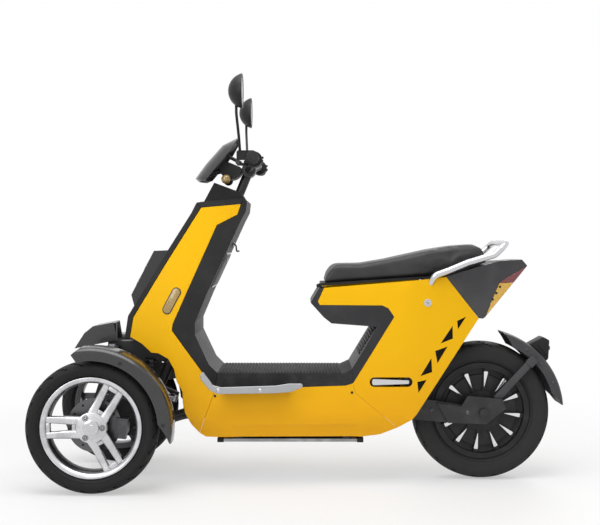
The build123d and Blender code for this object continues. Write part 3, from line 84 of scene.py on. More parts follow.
class Look:
    """One finish: a Principled shader with its constants set on its own sockets."""

    def __init__(self, name, color, **constants):
        self.material = bpy.data.materials.new(name)
        self.material.use_nodes = True
        self.tree = self.material.node_tree
        self.shader = self.tree.nodes["Principled BSDF"]
        self.shader.inputs["Base Color"].default_value = (*color, 1)
        self.color = color
        for key, value in constants.items():
            socket = key.replace("_", " ").title().replace("Ior", "IOR")
            self.shader.inputs[socket].default_value = value
        self.object_place = self.node("ShaderNodeTexCoord", {}, {}, "Object")

    def node(self, kind, settings=None, inputs=None, output=0):
        made = self.tree.nodes.new(kind)
        for key, value in (settings or {}).items():
            setattr(made, key, value)
        for key, value in (inputs or {}).items():
            if isinstance(value, Wire):
                self.tree.links.new(value.socket, made.inputs[key])
            else:
                made.inputs[key].default_value = value
        return Wire(self, made.outputs[output])

    def feed(self, socket, wire):
        self.tree.links.new(wire.socket, self.shader.inputs[socket])
        return self

    def axes(self, vector=None):
        parts = self.tree.nodes.new("ShaderNodeSeparateXYZ")
        self.tree.links.new((vector or self.object_place).socket, parts.inputs[0])
        return [Wire(self, parts.outputs[i]) for i in range(3)]

    def moved(self, shift=(0, 0, 0), scale=(1, 1, 1)):
        inputs = {"Vector": self.object_place, "Location": shift, "Scale": scale}
        return self.node("ShaderNodeMapping", {}, inputs, "Vector")

    def radius(self, hub):
        """Distance from a wheel's axle."""
        x, _, z = self.axes(self.moved(shift=(-hub.x, 0, -hub.z)))
        return (x * x + z * z) ** 0.5

    def turned(self, hub):
        """Fine lines round a wheel's axle."""
        radius = self.radius(hub)
        line = self.node("ShaderNodeCombineXYZ", {}, {"X": radius * 260.0, "Y": radius * 3.0, "Z": radius})
        return self.noise(4.0, 4.0, 0.6, line)

    def noise(self, scale, detail=3.0, roughness=0.5, vector=None):
        inputs = {"Vector": vector or self.object_place, "Scale": scale, "Detail": detail,
                  "Roughness": roughness}
        return self.node("ShaderNodeTexNoise", {}, inputs, "Fac")

    def cells(self, scale):
        inputs = {"Vector": self.object_place, "Scale": scale}
        return self.node("ShaderNodeTexVoronoi", {"feature": "F1"}, inputs, "Distance")

    def blend(self, factor, first, second):
        """Colour between two colours."""
        made = self.tree.nodes.new("ShaderNodeMix")
        made.data_type = "RGBA"
        self.tree.links.new(factor.socket, made.inputs["Factor"])
        for index, color in ((6, first), (7, second)):
            if isinstance(color, Wire):
                self.tree.links.new(color.socket, made.inputs[index])
            else:
                made.inputs[index].default_value = (*color, 1)
        return Wire(self, made.outputs[2])

    def tinted(self, factor, second):
        return self.feed("Base Color", self.blend(factor, self.color, second))

    def rough(self, factor, low, high):
        return self.feed("Roughness", factor * (high - low) + low)

    def bump(self, height, strength, distance):
        inputs = {"Height": height, "Strength": strength, "Distance": distance}
        return self.feed("Normal", self.node("ShaderNodeBump", {}, inputs, "Normal"))


def body_paint():
    """Yellow paint, with painted shade that turns it orange low down."""
    look = Look("yellow_paint", (0.93, 0.51, 0.001), roughness=0.34, specular_ior_level=0.12,
                coat_weight=0.12, coat_roughness=0.05)
    z = look.axes()[2]
    patch = look.noise(3.0, 2.0)
    # low: painted shade, stronger towards the bottom of the body
    low = 1 - z.between(0.13, 0.55)
    look.tinted(low * 0.55 + patch * 0.12, (0.80, 0.345, 0.006))
    look.rough(look.noise(40.0), 0.28, 0.42)
    return look.bump(look.noise(420.0, 1.0), 0.02, 0.0006)


def grained_plastic(name, color, pale, roughness=0.55, scale=900.0, depth=0.16):
    look = Look(name, color, specular_ior_level=0.3)
    wear_and_painted_reflection = look.noise(9.0, 4.0)
    look.tinted(wear_and_painted_reflection.between(0.42, 0.75), pale)
    look.rough(look.noise(60.0), roughness - 0.08, roughness + 0.1)
    return look.bump(look.cells(scale) + look.noise(scale / 3) * 0.6, depth, 0.0006)


def gloss_plastic(name, color):
    look = Look(name, color, coat_weight=0.4, coat_roughness=0.06)
    look.tinted(look.noise(5.0, 2.0).between(0.4, 0.8), tuple(c * 1.25 + 0.002 for c in color))
    look.rough(look.noise(55.0), 0.22, 0.34)
    return look.bump(look.noise(300.0, 1.0), 0.015, 0.0006)


def tyre_rubber(name, hub, color):
    look = Look(name, color, specular_ior_level=0.25)
    radius = look.radius(hub)
    rings = radius.maths("SINE", radius * 900.0)
    dust = look.noise(14.0, 5.0) * radius.between(hub.z - 0.03, hub.z)
    look.tinted(dust.between(0.25, 0.8), (0.03, 0.029, 0.027))
    look.rough(look.noise(70.0), 0.58, 0.78)
    flank = 1 - radius.between(hub.z - 0.03, hub.z - 0.02)
    return look.bump(rings * flank * 0.3 + look.noise(700.0) * 0.7, 0.22, 0.0008)


def machined(name, color, hub, roughness):
    """Turned or brushed alloy: fine lines round a hub, or along X."""
    look = Look(name, color, metallic=1.0)
    streak = look.turned(hub) if hub else look.noise(4.0, 4.0, 0.6, look.moved(scale=(6.0, 260.0, 260.0)))
    look.rough(streak + look.noise(9.0) * 0.4, roughness - 0.08, roughness + 0.12)
    look.tinted(streak.between(0.3, 0.8), tuple(c * 0.82 for c in color))
    return look.bump(streak, 0.05, 0.0004)


def wheel_alloy():
    """Machined wheel face, with painted shade that darkens it far inside and painted dark reflections in
    random patches.
    """
    look = Look("bright_alloy", (0.72, 0.72, 0.74), metallic=1.0)
    y = look.axes()[1]
    outward = y.maths("ABSOLUTE", y) - abs(FRONT_HUB.y)
    # Painted shade: darker far inside the wheel, on the barrel, in the slots and down the sides of the spokes
    painted_recess_shade = 1 - outward.between(0.009, 0.027)
    streak = look.turned(FRONT_HUB)
    shade = look.blend(streak.between(0.3, 0.8), (0.70, 0.70, 0.72), (0.50, 0.50, 0.52))
    # Painted reflection: random dark patches stand in for the dark surroundings that the metal face reflects
    wear_and_painted_reflection = look.noise(26.0, 2.0).between(0.42, 0.62) * 0.35
    shade = look.blend(wear_and_painted_reflection, shade, (0.34, 0.34, 0.355))
    look.feed("Base Color", look.blend(painted_recess_shade, shade, (0.10, 0.10, 0.105)))
    look.rough(streak + look.noise(9.0) * 0.4, 0.16, 0.34)
    return look.bump(streak, 0.05, 0.0004)


def cast(name, color, metallic, roughness):
    look = Look(name, color, metallic=metallic)
    look.tinted(look.noise(26.0, 5.0).between(0.4, 0.8), tuple(min(1, c * 1.6 + 0.01) for c in color))
    look.rough(look.noise(80.0), roughness - 0.07, roughness + 0.12)
    return look.bump(look.noise(650.0, 3.0) + look.cells(500.0) * 0.5, 0.12, 0.0006)


def seat_leather():
    look = Look("seat_vinyl", (0.014, 0.014, 0.015), specular_ior_level=0.5, sheen_weight=0.08,
                sheen_roughness=0.4)
    grain = look.cells(520.0) * 0.7 + look.cells(260.0) * 0.4 + look.noise(900.0) * 0.3
    look.tinted(look.noise(16.0, 5.0).between(0.4, 0.75), (0.024, 0.024, 0.025))
    look.rough(look.noise(45.0), 0.44, 0.6)
    return look.bump(grain, 0.3, 0.0008)


def woven_mat():
    """Rubber floor mat with fine diagonal hatching."""
    look = Look("mat_rubber", (0.018, 0.018, 0.019), specular_ior_level=0.3)
    x, y, z = look.axes()
    slant = (x + y) * 520.0 + z * 520.0
    hatch = slant.maths("SINE", slant)
    look.tinted(look.noise(20.0, 4.0).between(0.4, 0.8), (0.04, 0.04, 0.04))
    look.rough(look.noise(60.0), 0.6, 0.78)
    return look.bump(hatch * 0.5 + look.noise(600.0) * 0.3, 0.4, 0.001)


def lens(name, color, weight):
    look = Look(name, color, transmission_weight=weight, ior=1.49)
    flutes = look.axes()[2] * 900.0
    look.rough(look.noise(120.0), 0.06, 0.12)
    return look.bump(flutes.maths("SINE", flutes), 0.12, 0.0008)


def lamp_plastic(name, color):
    """Coloured lamp glass backed by its reflector, with small prisms."""
    look = Look(name, color, coat_weight=1.0, coat_roughness=0.03, specular_ior_level=0.6)
    prisms = look.cells(420.0)
    look.tinted(prisms.between(0.2, 0.8), tuple(c * 0.62 for c in color))
    look.rough(look.noise(90.0), 0.12, 0.24)
    return look.bump(prisms, 0.25, 0.0012)


PAINT = body_paint()
DARK = grained_plastic("black_plastic", (0.009, 0.009, 0.0095), (0.018, 0.018, 0.019))
TRIM_GREY = grained_plastic("charcoal_plastic", (0.022, 0.022, 0.024), (0.036, 0.036, 0.038), 0.48)
REAR_GREY = grained_plastic("rear_grey_plastic", (0.052, 0.052, 0.055), (0.070, 0.070, 0.073), 0.5)
VENT_BLACK = grained_plastic("vent_black", (0.0015, 0.0015, 0.0015), (0.003, 0.003, 0.003), 0.85)
FENDER_BLACK = gloss_plastic("fender_black", (0.018, 0.018, 0.0195))
GLOSS = gloss_plastic("gloss_black", (0.006, 0.006, 0.007))
MIRROR_BLACK = grained_plastic("mirror_black", (0.008, 0.008, 0.0085), (0.014, 0.014, 0.015), 0.42,
                               1400.0, 0.05)
FRONT_RUBBER = tyre_rubber("front_tyre_rubber", FRONT_HUB, (0.011, 0.011, 0.0115))
REAR_RUBBER = tyre_rubber("rear_tyre_rubber", REAR_HUB, (0.024, 0.024, 0.0245))
BRIGHT = wheel_alloy()
WEDGE = machined("machined_wedges", (0.78, 0.78, 0.8), None, 0.2)
POLISHED = machined("polished_rail", (0.66, 0.66, 0.68), None, 0.2)
ANODISED = machined("anodised_trim", (0.43, 0.44, 0.45), None, 0.32)
DISC_STEEL = machined("disc_steel", (0.13, 0.13, 0.135), FRONT_HUB, 0.3)
CAST_GREY = cast("cast_alloy", (0.075, 0.075, 0.08), 0.7, 0.4)
MOTOR_BLACK = cast("motor_black", (0.007, 0.007, 0.0075), 0.3, 0.44)
POWDER = cast("powder_coat", (0.011, 0.011, 0.012), 0.0, 0.45)
ZINC = cast("zinc_steel", (0.55, 0.55, 0.57), 1.0, 0.32)
CHROME = machined("chrome", (0.6, 0.6, 0.62), None, 0.12)
SPRING_GREY = cast("spring_grey", (0.05, 0.05, 0.053), 0.4, 0.32)
SEAT_SKIN = seat_leather()
GRIP = grained_plastic("grip_rubber", (0.02, 0.02, 0.02), (0.035, 0.035, 0.035), 0.72, 700.0, 0.35)
MAT = woven_mat()
CLEAR = lens("clear_lens", (0.93, 0.95, 0.96), 0.85)
SMOKED = lens("smoked_lens", (0.06, 0.06, 0.065), 0.5)
RED = lamp_plastic("red_lens", (0.22, 0.004, 0.010))
AMBER = lamp_plastic("amber_lens", (0.88, 0.50, 0.03))
REFLECTOR = lamp_plastic("side_reflector", (0.46, 0.30, 0.075))
BRASS_AMBER = lamp_plastic("brass_amber", (0.42, 0.27, 0.06))
SILVERED = machined("mirror_glass", (0.45, 0.46, 0.48), None, 0.09)
ALUMINIUM = cast("belly_aluminium", (0.27, 0.275, 0.28), 0.9, 0.36)


# Making pieces

def linked(name, data):
    made = bpy.data.objects.new(name, data)
    bpy.context.collection.objects.link(made)
    return made


def place(name, bm, body, look, slot, *nodes, sharp=35.0):
    """A mesh as a piece of the scooter: shaded, riding on its body, standing for CAD nodes."""
    mesh = bpy.data.meshes.new(name)
    bm.to_mesh(mesh)
    bm.free()
    mesh.shade_smooth()
    mesh.set_sharp_from_angle(angle=radians(sharp))
    mesh.materials.append(look.material)
    made = linked(name, mesh)
    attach(made, body)
    if nodes:
        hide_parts(*nodes)
    return made


def both_sides(bm):
    """Adds the mirror image on the other side."""
    doubles = bmesh.ops.duplicate(bm, geom=bm.verts[:] + bm.edges[:] + bm.faces[:])["geom"]
    bmesh.ops.scale(bm, vec=(1, -1, 1), verts=[g for g in doubles if isinstance(g, bmesh.types.BMVert)])
    bmesh.ops.reverse_faces(bm, faces=[g for g in doubles if isinstance(g, bmesh.types.BMFace)])
    return bm


def clean_copy(node):
    """The mesh of a CAD node, joined up and with its flat faces in one piece each."""
    bm = bmesh.new()
    bm.from_mesh(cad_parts[node].data)
    bmesh.ops.remove_doubles(bm, verts=bm.verts, dist=0.00002)
    bmesh.ops.dissolve_limit(bm, angle_limit=radians(1), verts=bm.verts, edges=bm.edges, delimit=set())
    return bm


def softened(node, look, slot, width):
    """A CAD panel of the chassis with its edges rounded as on a moulding."""
    made = place(node + "_skin", clean_copy(node), "chassis", look, slot, node)
    edge = made.modifiers.new("rounding", "BEVEL")
    edge.width, edge.segments, edge.limit_method = width, 3, "ANGLE"
    edge.angle_limit = radians(22)
    edge.harden_normals = True
    return made


def lathe(points, centre, axis=(0, 1, 0), steps=48, closed=True):
    """Ring or solid turned about an axis through centre, from (radius, along) points."""
    bm = bmesh.new()
    verts = [bm.verts.new((max(r, 0), a, 0)) for r, a in points]
    edges = [bm.edges.new(pair) for pair in zip(verts, verts[1:])]
    if closed:
        edges.append(bm.edges.new((verts[-1], verts[0])))
    bmesh.ops.spin(bm, geom=verts + edges, cent=(0, 0, 0), axis=(0, 1, 0), angle=2 * pi, steps=steps,
                   use_merge=True, use_duplicate=False)
    bmesh.ops.remove_doubles(bm, verts=bm.verts, dist=0.00001)
    bmesh.ops.recalc_face_normals(bm, faces=bm.faces)
    return moved(bm, aim(centre, axis, (0, 1, 0)))


def gather(*parts):
    """Several meshes as one."""
    whole = bmesh.new()
    for part in parts:
        keep = bpy.data.meshes.new("part")
        part.to_mesh(keep)
        part.free()
        whole.from_mesh(keep)
        bpy.data.meshes.remove(keep)
    return whole


def bevelled(bm, edges, offset, segments=2):
    bmesh.ops.bevel(bm, geom=edges, offset=offset, offset_type="OFFSET", segments=segments, profile=0.5,
                    affect="EDGES", clamp_overlap=True, material=-1)
    return bm


def slab(points, low, high, bevel):
    """Plate of an XZ outline between two Y values, its edges bevelled."""
    bm = bmesh.new()
    face = bm.faces.new([bm.verts.new((x, low, z)) for x, z in points])
    grown = bmesh.ops.extrude_face_region(bm, geom=[face])["geom"]
    verts = [g for g in grown if isinstance(g, bmesh.types.BMVert)]
    bmesh.ops.translate(bm, vec=(0, high - low, 0), verts=verts)
    bmesh.ops.recalc_face_normals(bm, faces=bm.faces)
    return bevelled(bm, bm.edges[:], bevel)


def button(centre, axis, radius, height):
    """Round-headed socket screw."""
    r, h = radius, height
    points = [(0, 0), (0, h * 0.35), (r * 0.5, h * 0.35), (r * 0.5, h), (r * 0.8, h), (r, h * 0.6), (r, 0)]
    return lathe(points, centre, axis, 20, closed=False)


def tube(name, points, radius, body, look):
    """Bent bar as a smooth curve through control points."""
    curve = bpy.data.curves.new(name, "CURVE")
    curve.dimensions = "3D"
    curve.bevel_depth = radius
    curve.bevel_resolution = 5
    curve.resolution_u = 6
    curve.use_fill_caps = True
    spline = curve.splines.new("NURBS")
    spline.points.add(len(points) - 1)
    for spot, co in zip(spline.points, points):
        spot.co = (*co, 1)
    spline.order_u = 3
    spline.use_endpoint_u = True
    curve.materials.append(look.material)
    made = linked(name, curve)
    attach(made, body)


# Panels and covers that get rounded edges: look, slot, width of the rounding, nodes
SKINS = [
    (PAINT, "body_paint", 0.0016,
     ("front_panel_left", "front_panel_right", "rear_panel_left", "rear_panel_right")),
    (DARK, "dark_plastic", 0.003, ("front_fascia", "head_cover")),
    (FENDER_BLACK, "dark_plastic", 0.0018, ("nose_cover",)),
    (DARK, "dark_plastic", 0.0018, ("inner_legshield",)),
    (TRIM_GREY, "dark_plastic", 0.0018, ("underseat_cover",)),
    (REAR_GREY, "dark_plastic", 0.0018, ("tail_cover",)),
    (GLOSS, "gloss_black", 0.003, ("headlight_housing",)),
    (RED, "red_lens", 0.002, ("tail_lamp",)),
    (AMBER, "amber_lens", 0.002, ("rear_indicators",)),
    (ALUMINIUM, "steel", 0.002, ("belly_plate",)),
    (ANODISED, "silver_trim", 0.002, ("foot_trims",)),
]
for look, slot, width, nodes in SKINS:
    for node in nodes:
        softened(node, look, slot, width)

# CAD nodes that keep their form and get a finish
PLAIN = {
    CAST_GREY: ("knuckle_left", "knuckle_right"),
    DISC_STEEL: ("front_disc_left", "front_disc_right"),
    POLISHED: ("footrest_left", "footrest_right", "grab_rail"),
    ZINC: ("tie_rod_left", "tie_rod_right"),
    SMOKED: ("headlight_lens",),
    DARK: ("seat_base", "switch_pods", "battery_block", "storage_bin", "wheel_well", "instrument_pod"),
    POWDER: ("upper_arms", "lower_arms", "brake_levers", "main_frame", "swing_arm", "steering_column",
             "handlebar"),
    MIRROR_BLACK: ("mirrors",),
    SILVERED: ("mirror_glass",),
    MAT: ("footboard",),
    MOTOR_BLACK: ("rear_motor",),
}
for look, nodes in PLAIN.items():
    for node in nodes:
        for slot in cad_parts[node].material_slots:
            slot.material = look.material


def moved(bm, matrix):
    bmesh.ops.transform(bm, matrix=matrix, verts=bm.verts)
    return bm


def mirrored(bm):
    """The right-hand twin of a left-hand mesh, still facing outwards."""
    moved(bm, MIRRORED)
    bmesh.ops.reverse_faces(bm, faces=bm.faces)
    return bm


def block(size, centre=(0, 0, 0), bevel=0.0):
    """Box with rounded edges, or with sharp ones where no bevel is given."""
    bm = bmesh.new()
    bmesh.ops.create_cube(bm, size=1.0)
    bmesh.ops.scale(bm, vec=size, verts=bm.verts)
    if bevel:
        bevelled(bm, bm.edges[:], bevel)
    bmesh.ops.translate(bm, vec=centre, verts=bm.verts)
    return bm


def pill(length, width, thick, edge=0.001, share=0.98):
    """Plate with round ends, lying in XZ with its face to -Y."""
    bm = bmesh.new()
    bmesh.ops.create_cube(bm, size=1.0)
    bmesh.ops.scale(bm, vec=(length, thick, width), verts=bm.verts)
    short = [e for e in bm.edges if abs(e.verts[0].co.y - e.verts[1].co.y) > thick / 2]
    bevelled(bm, short, width / 2 * share, 8)
    rim = [e for e in bm.edges if all(v.co.y < 0 for v in e.verts) and e.calc_face_angle(0) > 1]
    return bevelled(bm, rim, edge)


def round_copies(make, count, start=0.0):
    """Copies of a mesh turned evenly about the Y axis."""
    parts = [moved(make(), Matrix.Rotation(start + 2 * pi * i / count, 4, (0, 1, 0))) for i in range(count)]
    return gather(*parts)


def aim(centre, direction, source=(0, -1, 0)):
    """Matrix that carries a mesh facing source to a place, facing a direction."""
    turn = Vector(source).rotation_difference(Vector(direction)).to_matrix().to_4x4()
    return Matrix.Translation(centre) @ turn


def laid(spot, normal, up):
    """Matrix that lays a pill on a face: its length along Y, its face to the normal."""
    return Matrix.Translation(spot) @ Matrix((Vector((0, 1, 0)), -normal, up)).transposed().to_4x4()


TREES = {}


def onto(node, x, z, side=-1):
    """Place and outward direction on a CAD node's side, at an X and Z."""
    if node not in TREES:
        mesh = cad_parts[node].data
        TREES[node] = BVHTree.FromPolygons([v.co for v in mesh.vertices], [f.vertices for f in mesh.polygons])
    spot, facing, _, _ = TREES[node].ray_cast(Vector((x, side, z)), Vector((0, -side, 0)))
    return spot, facing


# Front wheels: profiles as (radius, out from the middle of the wheel) in millimetres

RIM_LIP = [(164.0, -33.5), (163.2, -35.4), (160.0, -36.2), (155.5, -35.2), (150.5, -32.0), (146.0, -26.5),
           (143.4, -19.0), (142.4, -8.0), (142.4, 30.0), (144.0, 35.0), (160.0, 36.0), (164.0, 34.0),
           (164.0, 30.0), (152.4, 30.0), (152.4, -30.0), (164.0, -30.0)]
HUB_FACE = [(0.0, -29.5), (44.0, -29.5), (49.0, -28.0), (52.0, -24.0), (52.0, -12.0), (48.0, -10.0),
            (27.0, -10.0), (26.0, 18.0), (38.0, 18.5), (38.0, 25.8), (10.8, 25.8), (10.8, -20.0),
            (0.0, -20.0)]
HUB_CAP = [(0.0, -39.6), (10.5, -39.6), (12.0, -38.6), (22.5, -38.2), (25.6, -36.8), (26.8, -33.5),
           (26.8, -29.0), (0.0, -29.0)]
BOLT_HEAD = [(0, -28.6), (3.2, -28.6), (3.2, -31.2), (5.8, -31.2), (6.6, -30.4), (6.6, -28.0), (0, -28.0)]
BOLT_SEAT = [(7.0, -28.6), (8.2, -30.2), (9.8, -30.0), (10.2, -28.6)]
BOLT_REACH = 0.0365
SPOKE_COUNT = 3
SPOKE_START, SPOKE_REACH, SPOKE_WIDTH, SPOKE_DEPTH = 0.036, 0.110, 0.0255, 0.020
SPOKE_FRONT, SPOKE_DISH, SPOKE_BACK, SPOKE_CROWN = -0.0232, 0.0058, -0.007, 0.0062


def mm(points):
    return [(r / 1000, y / 1000) for r, y in points]


def spoke_bar(side):
    """One bar of a double spoke along +X, crowned across and dished along its length."""
    bm = block((SPOKE_REACH, SPOKE_DEPTH, SPOKE_WIDTH), (SPOKE_START + SPOKE_REACH / 2, 0, 0))
    long_edges = [e for e in bm.edges if abs(e.verts[0].co.x - e.verts[1].co.x) > SPOKE_REACH / 2]
    bmesh.ops.subdivide_edges(bm, edges=long_edges, cuts=9, use_grid_fill=True)
    for v in bm.verts:
        t = (v.co.x - SPOKE_START) / SPOKE_REACH
        v.co.z = v.co.z * (1.18 - 0.36 * t) + side * (0.0210 + 0.0045 * t)
        v.co.y = SPOKE_FRONT - SPOKE_DISH * (2 * t - 1) ** 2 if v.co.y < 0 else SPOKE_BACK
    ridge = [e for e in bm.edges if e.calc_face_angle(0) > 0.9 and all(v.co.y < -0.02 for v in e.verts)]
    return bevelled(bm, ridge, SPOKE_CROWN, 3)


def spoke():
    """Two bars, with low plates that close the slot between them at both ends."""
    return gather(spoke_bar(-1), spoke_bar(1), block((0.030, 0.010, 0.030), (0.048, -0.017, 0), 0.002),
                  block((0.016, 0.012, 0.030), (0.141, -0.018, 0), 0.002))


def wheel_bolt():
    return gather(lathe(mm(BOLT_HEAD), (BOLT_REACH, 0, 0), steps=6),
                  lathe(mm(BOLT_SEAT), (BOLT_REACH, 0, 0), steps=24))


def front_wheel(side, tag):
    """Rim, hub cap and bolts of one front wheel."""
    def fitted(bm):
        return moved(bm if side < 0 else mirrored(bm), Matrix.Translation(hub_of(side)))

    body = "front_wheel_" + tag
    spokes = round_copies(spoke, SPOKE_COUNT, start=radians(-60))
    whole = gather(lathe(mm(RIM_LIP), (0, 0, 0), steps=96), lathe(mm(HUB_FACE), (0, 0, 0), steps=64), spokes)
    place("front_rim_" + tag + "_skin", fitted(whole), body, BRIGHT, "bright_alloy", "front_rim_" + tag,
          sharp=30)
    cap = fitted(lathe(mm(HUB_CAP), (0, 0, 0)))
    place("wheel_cap_" + tag, cap, body, CHROME, "bright_alloy", sharp=30)
    bolts = fitted(round_copies(wheel_bolt, SPOKE_COUNT))
    place("wheel_bolts_" + tag, bolts, body, CAST_GREY, "dark_alloy", sharp=30)


# Tyres: steps round them, height of a row of grooves, wall and depth of a groove
TYRE_STEPS = 120
GROOVE_ROW, GROOVE_WALL, GROOVE_DEPTH = 0.0032, 0.0007, 0.0034


def tyre(node, hub, r, width, rim_half, body, look, pitch):
    """Tyre with a fine ring on its flank and slanted grooves over its shoulders."""
    half = width / 2
    flank = [(0.1528, rim_half - 0.0064), (0.1645, rim_half - 0.0064), (0.1690, rim_half + 0.0005),
             (0.1745, rim_half + 0.0040), (0.1752, rim_half + 0.0052), (0.1764, rim_half + 0.0052),
             (0.1770, rim_half + 0.0046), ((r + 0.1645) / 2, half - 0.0004), (r - 0.0215, half - 0.0012),
             (r - 0.0150, half - 0.0042), (r - 0.0100, half - 0.0085), (r - 0.0064, half - 0.0145),
             (r - 0.0036, half * 0.55), (r - 0.0012, half * 0.28)]
    points = flank + [(r, 0)] + [(a, -b) for a, b in reversed(flank)]
    bm = lathe(points, (0, 0, 0), steps=TYRE_STEPS)
    cuts = []
    for face in bm.faces:
        mid = face.calc_center_median()
        reach = sqrt(mid.x ** 2 + mid.z ** 2)
        if r - 0.0135 < reach < r - 0.0016:
            place_round = int((atan2(mid.z, mid.x) % (2 * pi)) / (2 * pi) * TYRE_STEPS)
            row = int((r - reach) / GROOVE_ROW)
            if (place_round + (row if mid.y < 0 else -row)) % pitch == 0:
                cuts.append(face)
    bmesh.ops.inset_region(bm, faces=cuts, thickness=GROOVE_WALL, depth=-GROOVE_DEPTH, use_even_offset=True)
    place(node + "_tread", moved(bm, Matrix.Translation(hub)), body, look, "tyre_rubber", node, sharp=28)


for side, tag in SIDES:
    front_wheel(side, tag)
    tyre("front_tyre_" + tag, hub_of(side), 0.216, 0.090, 0.036, "front_wheel_" + tag, FRONT_RUBBER, 5)
tyre("rear_tyre", REAR_HUB, 0.236, 0.120, 0.048, "rear_wheel", REAR_RUBBER, 6)


# Rear motor: bright wedges on its ribs, a dark web behind them and a fine ring round its edge
WEDGE_COUNT = 12
MOTOR_WEB = [(119.0, -27.0), (124.0, -22.0), (136.0, -20.0), (146.5, -24.0), (146.5, 24.0), (136.0, 20.0),
             (124.0, 22.0), (119.0, 27.0)]
RIM_RING = [(146.2, -48.0), (146.4, -49.0), (151.8, -49.0), (152.2, -48.0)]


def wedge():
    return slab([(0.080, -0.0006), (0.131, -0.0070), (0.1345, -0.0052), (0.1345, 0.0052), (0.131, 0.0070),
                 (0.080, 0.0006)], -0.0396, -0.0382, 0.0004)


wedges = both_sides(round_copies(wedge, WEDGE_COUNT, start=2 * pi * 0.25 / WEDGE_COUNT))
place("motor_wedges", moved(wedges, Matrix.Translation(REAR_HUB)), "rear_wheel", WEDGE, "bright_alloy")
web = lathe(mm(MOTOR_WEB), REAR_HUB, steps=72)
place("motor_web", web, "rear_wheel", MOTOR_BLACK, "dark_alloy")
ring = lathe(mm(RIM_RING), REAR_HUB, steps=96)
place("rear_rim_ring", both_sides(ring), "rear_wheel", MOTOR_BLACK, "dark_alloy")


# Springs and shock absorbers

def coil(start, end, radius, wire, turns):
    """Spring wound between two points."""
    steps, span = 20, (end - start).length
    bm = bmesh.new()
    section = Matrix.Translation((radius, 0, 0)) @ Matrix.Rotation(pi / 2, 4, "X")
    bmesh.ops.create_circle(bm, segments=10, radius=wire, matrix=section)
    bmesh.ops.spin(bm, geom=bm.verts[:] + bm.edges[:], cent=(0, 0, 0), axis=(0, 0, 1), use_merge=False,
                   dvec=(0, 0, span / (turns * steps)), angle=2 * pi * turns, steps=turns * steps)
    bmesh.ops.holes_fill(bm, edges=[e for e in bm.edges if e.is_boundary])
    bmesh.ops.recalc_face_normals(bm, faces=bm.faces)
    return moved(bm, aim(start, end - start, (0, 0, 1)))


def shock(top, foot, body_r, rod_r, spring_r, eye_r, bore_r, across):
    """Body, rod, spring cups and bushed eyes, then the spring between the cups."""
    line = foot - top
    cup_r = spring_r * 1.05
    rows = [(0, 0.0), (body_r * 0.8, 0.0), (body_r * 0.8, 0.10), (spring_r * 0.9, 0.12), (cup_r, 0.14),
            (cup_r, 0.155), (body_r, 0.16), (body_r, 0.52), (body_r * 0.9, 0.53), (rod_r, 0.535),
            (rod_r, 0.72), (cup_r, 0.725), (cup_r, 0.745), (spring_r * 0.7, 0.765), (rod_r * 1.3, 0.79),
            (rod_r * 1.3, 1.0), (0, 1.0)]
    body = lathe([(r, line.length * share) for r, share in rows], top, line, 28, closed=False)
    eye = [(bore_r, -0.011), (eye_r * 0.92, -0.011), (eye_r, -0.010), (eye_r, 0.010), (eye_r * 0.92, 0.011),
           (bore_r, 0.011)]
    eyes = [lathe(eye, end, across, 24) for end in (top, foot)]
    spring = coil(top + line * 0.165, top + line * 0.72, spring_r * 0.86, spring_r * 0.15, 7)
    return gather(body, *eyes), spring


body, spring = shock(at(0.0220, -0.0605, 0.598), at(0.0060, -0.110525, 0.226), 0.011, 0.0055, 0.021, 0.012,
                     0.006, (1, 0, 0))
place("front_shock_bodies", both_sides(body), "chassis", CAST_GREY, "dark_alloy", "front_shocks")
place("front_springs", both_sides(spring), "chassis", SPRING_GREY, "dark_alloy")
body, spring = shock(at(0.720, 0, 0.640), at(0.790, 0, 0.375), 0.013, 0.007, 0.022, 0.015, 0.0103, (0, 1, 0))
place("rear_shock_body", body, "chassis", CAST_GREY, "dark_alloy", "rear_shock")
place("rear_spring", spring, "chassis", SPRING_GREY, "dark_alloy")


# Screws, bolts and lock

def screws(name, node, spots, look, radius, height, body="chassis", side=0):
    """Screws on the outside of a node: on one side, or on the left and mirrored when side is 0."""
    parts = []
    for x, z in spots:
        spot, facing = onto(node, x, z, side or -1)
        parts.append(button(spot - facing * 0.0004, facing, radius, height))
    bm = gather(*parts)
    place(name, bm if side else both_sides(bm), body, look, "steel", sharp=30)


screws("skirt_screws", "skirt_left", [(-0.2897, 0.3000), (0.1664, 0.3120)], MOTOR_BLACK, 0.0045, 0.0016)
screws("trim_screws", "foot_trims", [(-0.275, 0.3262), (-0.1373, 0.3262)], CHROME, 0.0058, 0.0022)
for side, tag in SIDES:
    screws("fender_screws_" + tag, "fender_" + tag, [(-0.5776, 0.4265), (-0.4412, 0.2300)], MOTOR_BLACK,
           0.0062, 0.0028, "steer_knuckle_" + tag, side)
screws("mudguard_bolts", "rear_mudguard", [(0.7640, 0.4470), (0.8120, 0.3990), (0.8520, 0.3360)], CAST_GREY,
       0.0052, 0.0030)
screws("swing_bolts", "swing_arm", [(0.5600, 0.2360), (0.4400, 0.2440)], CAST_GREY, 0.0070, 0.0035)

LOCK = [(0, 1.2), (7.4, 1.2), (8.0, 0.8), (8.4, 2.0), (11.6, 2.0), (13.0, 1.2), (13.2, -1.0), (0, -1.0)]
spot, facing = onto("rear_panel_left", 0.4191, 0.6100)
place("seat_lock", lathe(mm(LOCK), spot, facing, 40), "chassis", CHROME, "steel", sharp=30)
key_turn = aim(spot + facing * 0.0014, facing) @ Matrix.Rotation(0.4, 4, "Y")
key = moved(pill(0.009, 0.0022, 0.0010, 0.0003), key_turn)
place("seat_lock_slot", key, "chassis", MOTOR_BLACK, "steel")

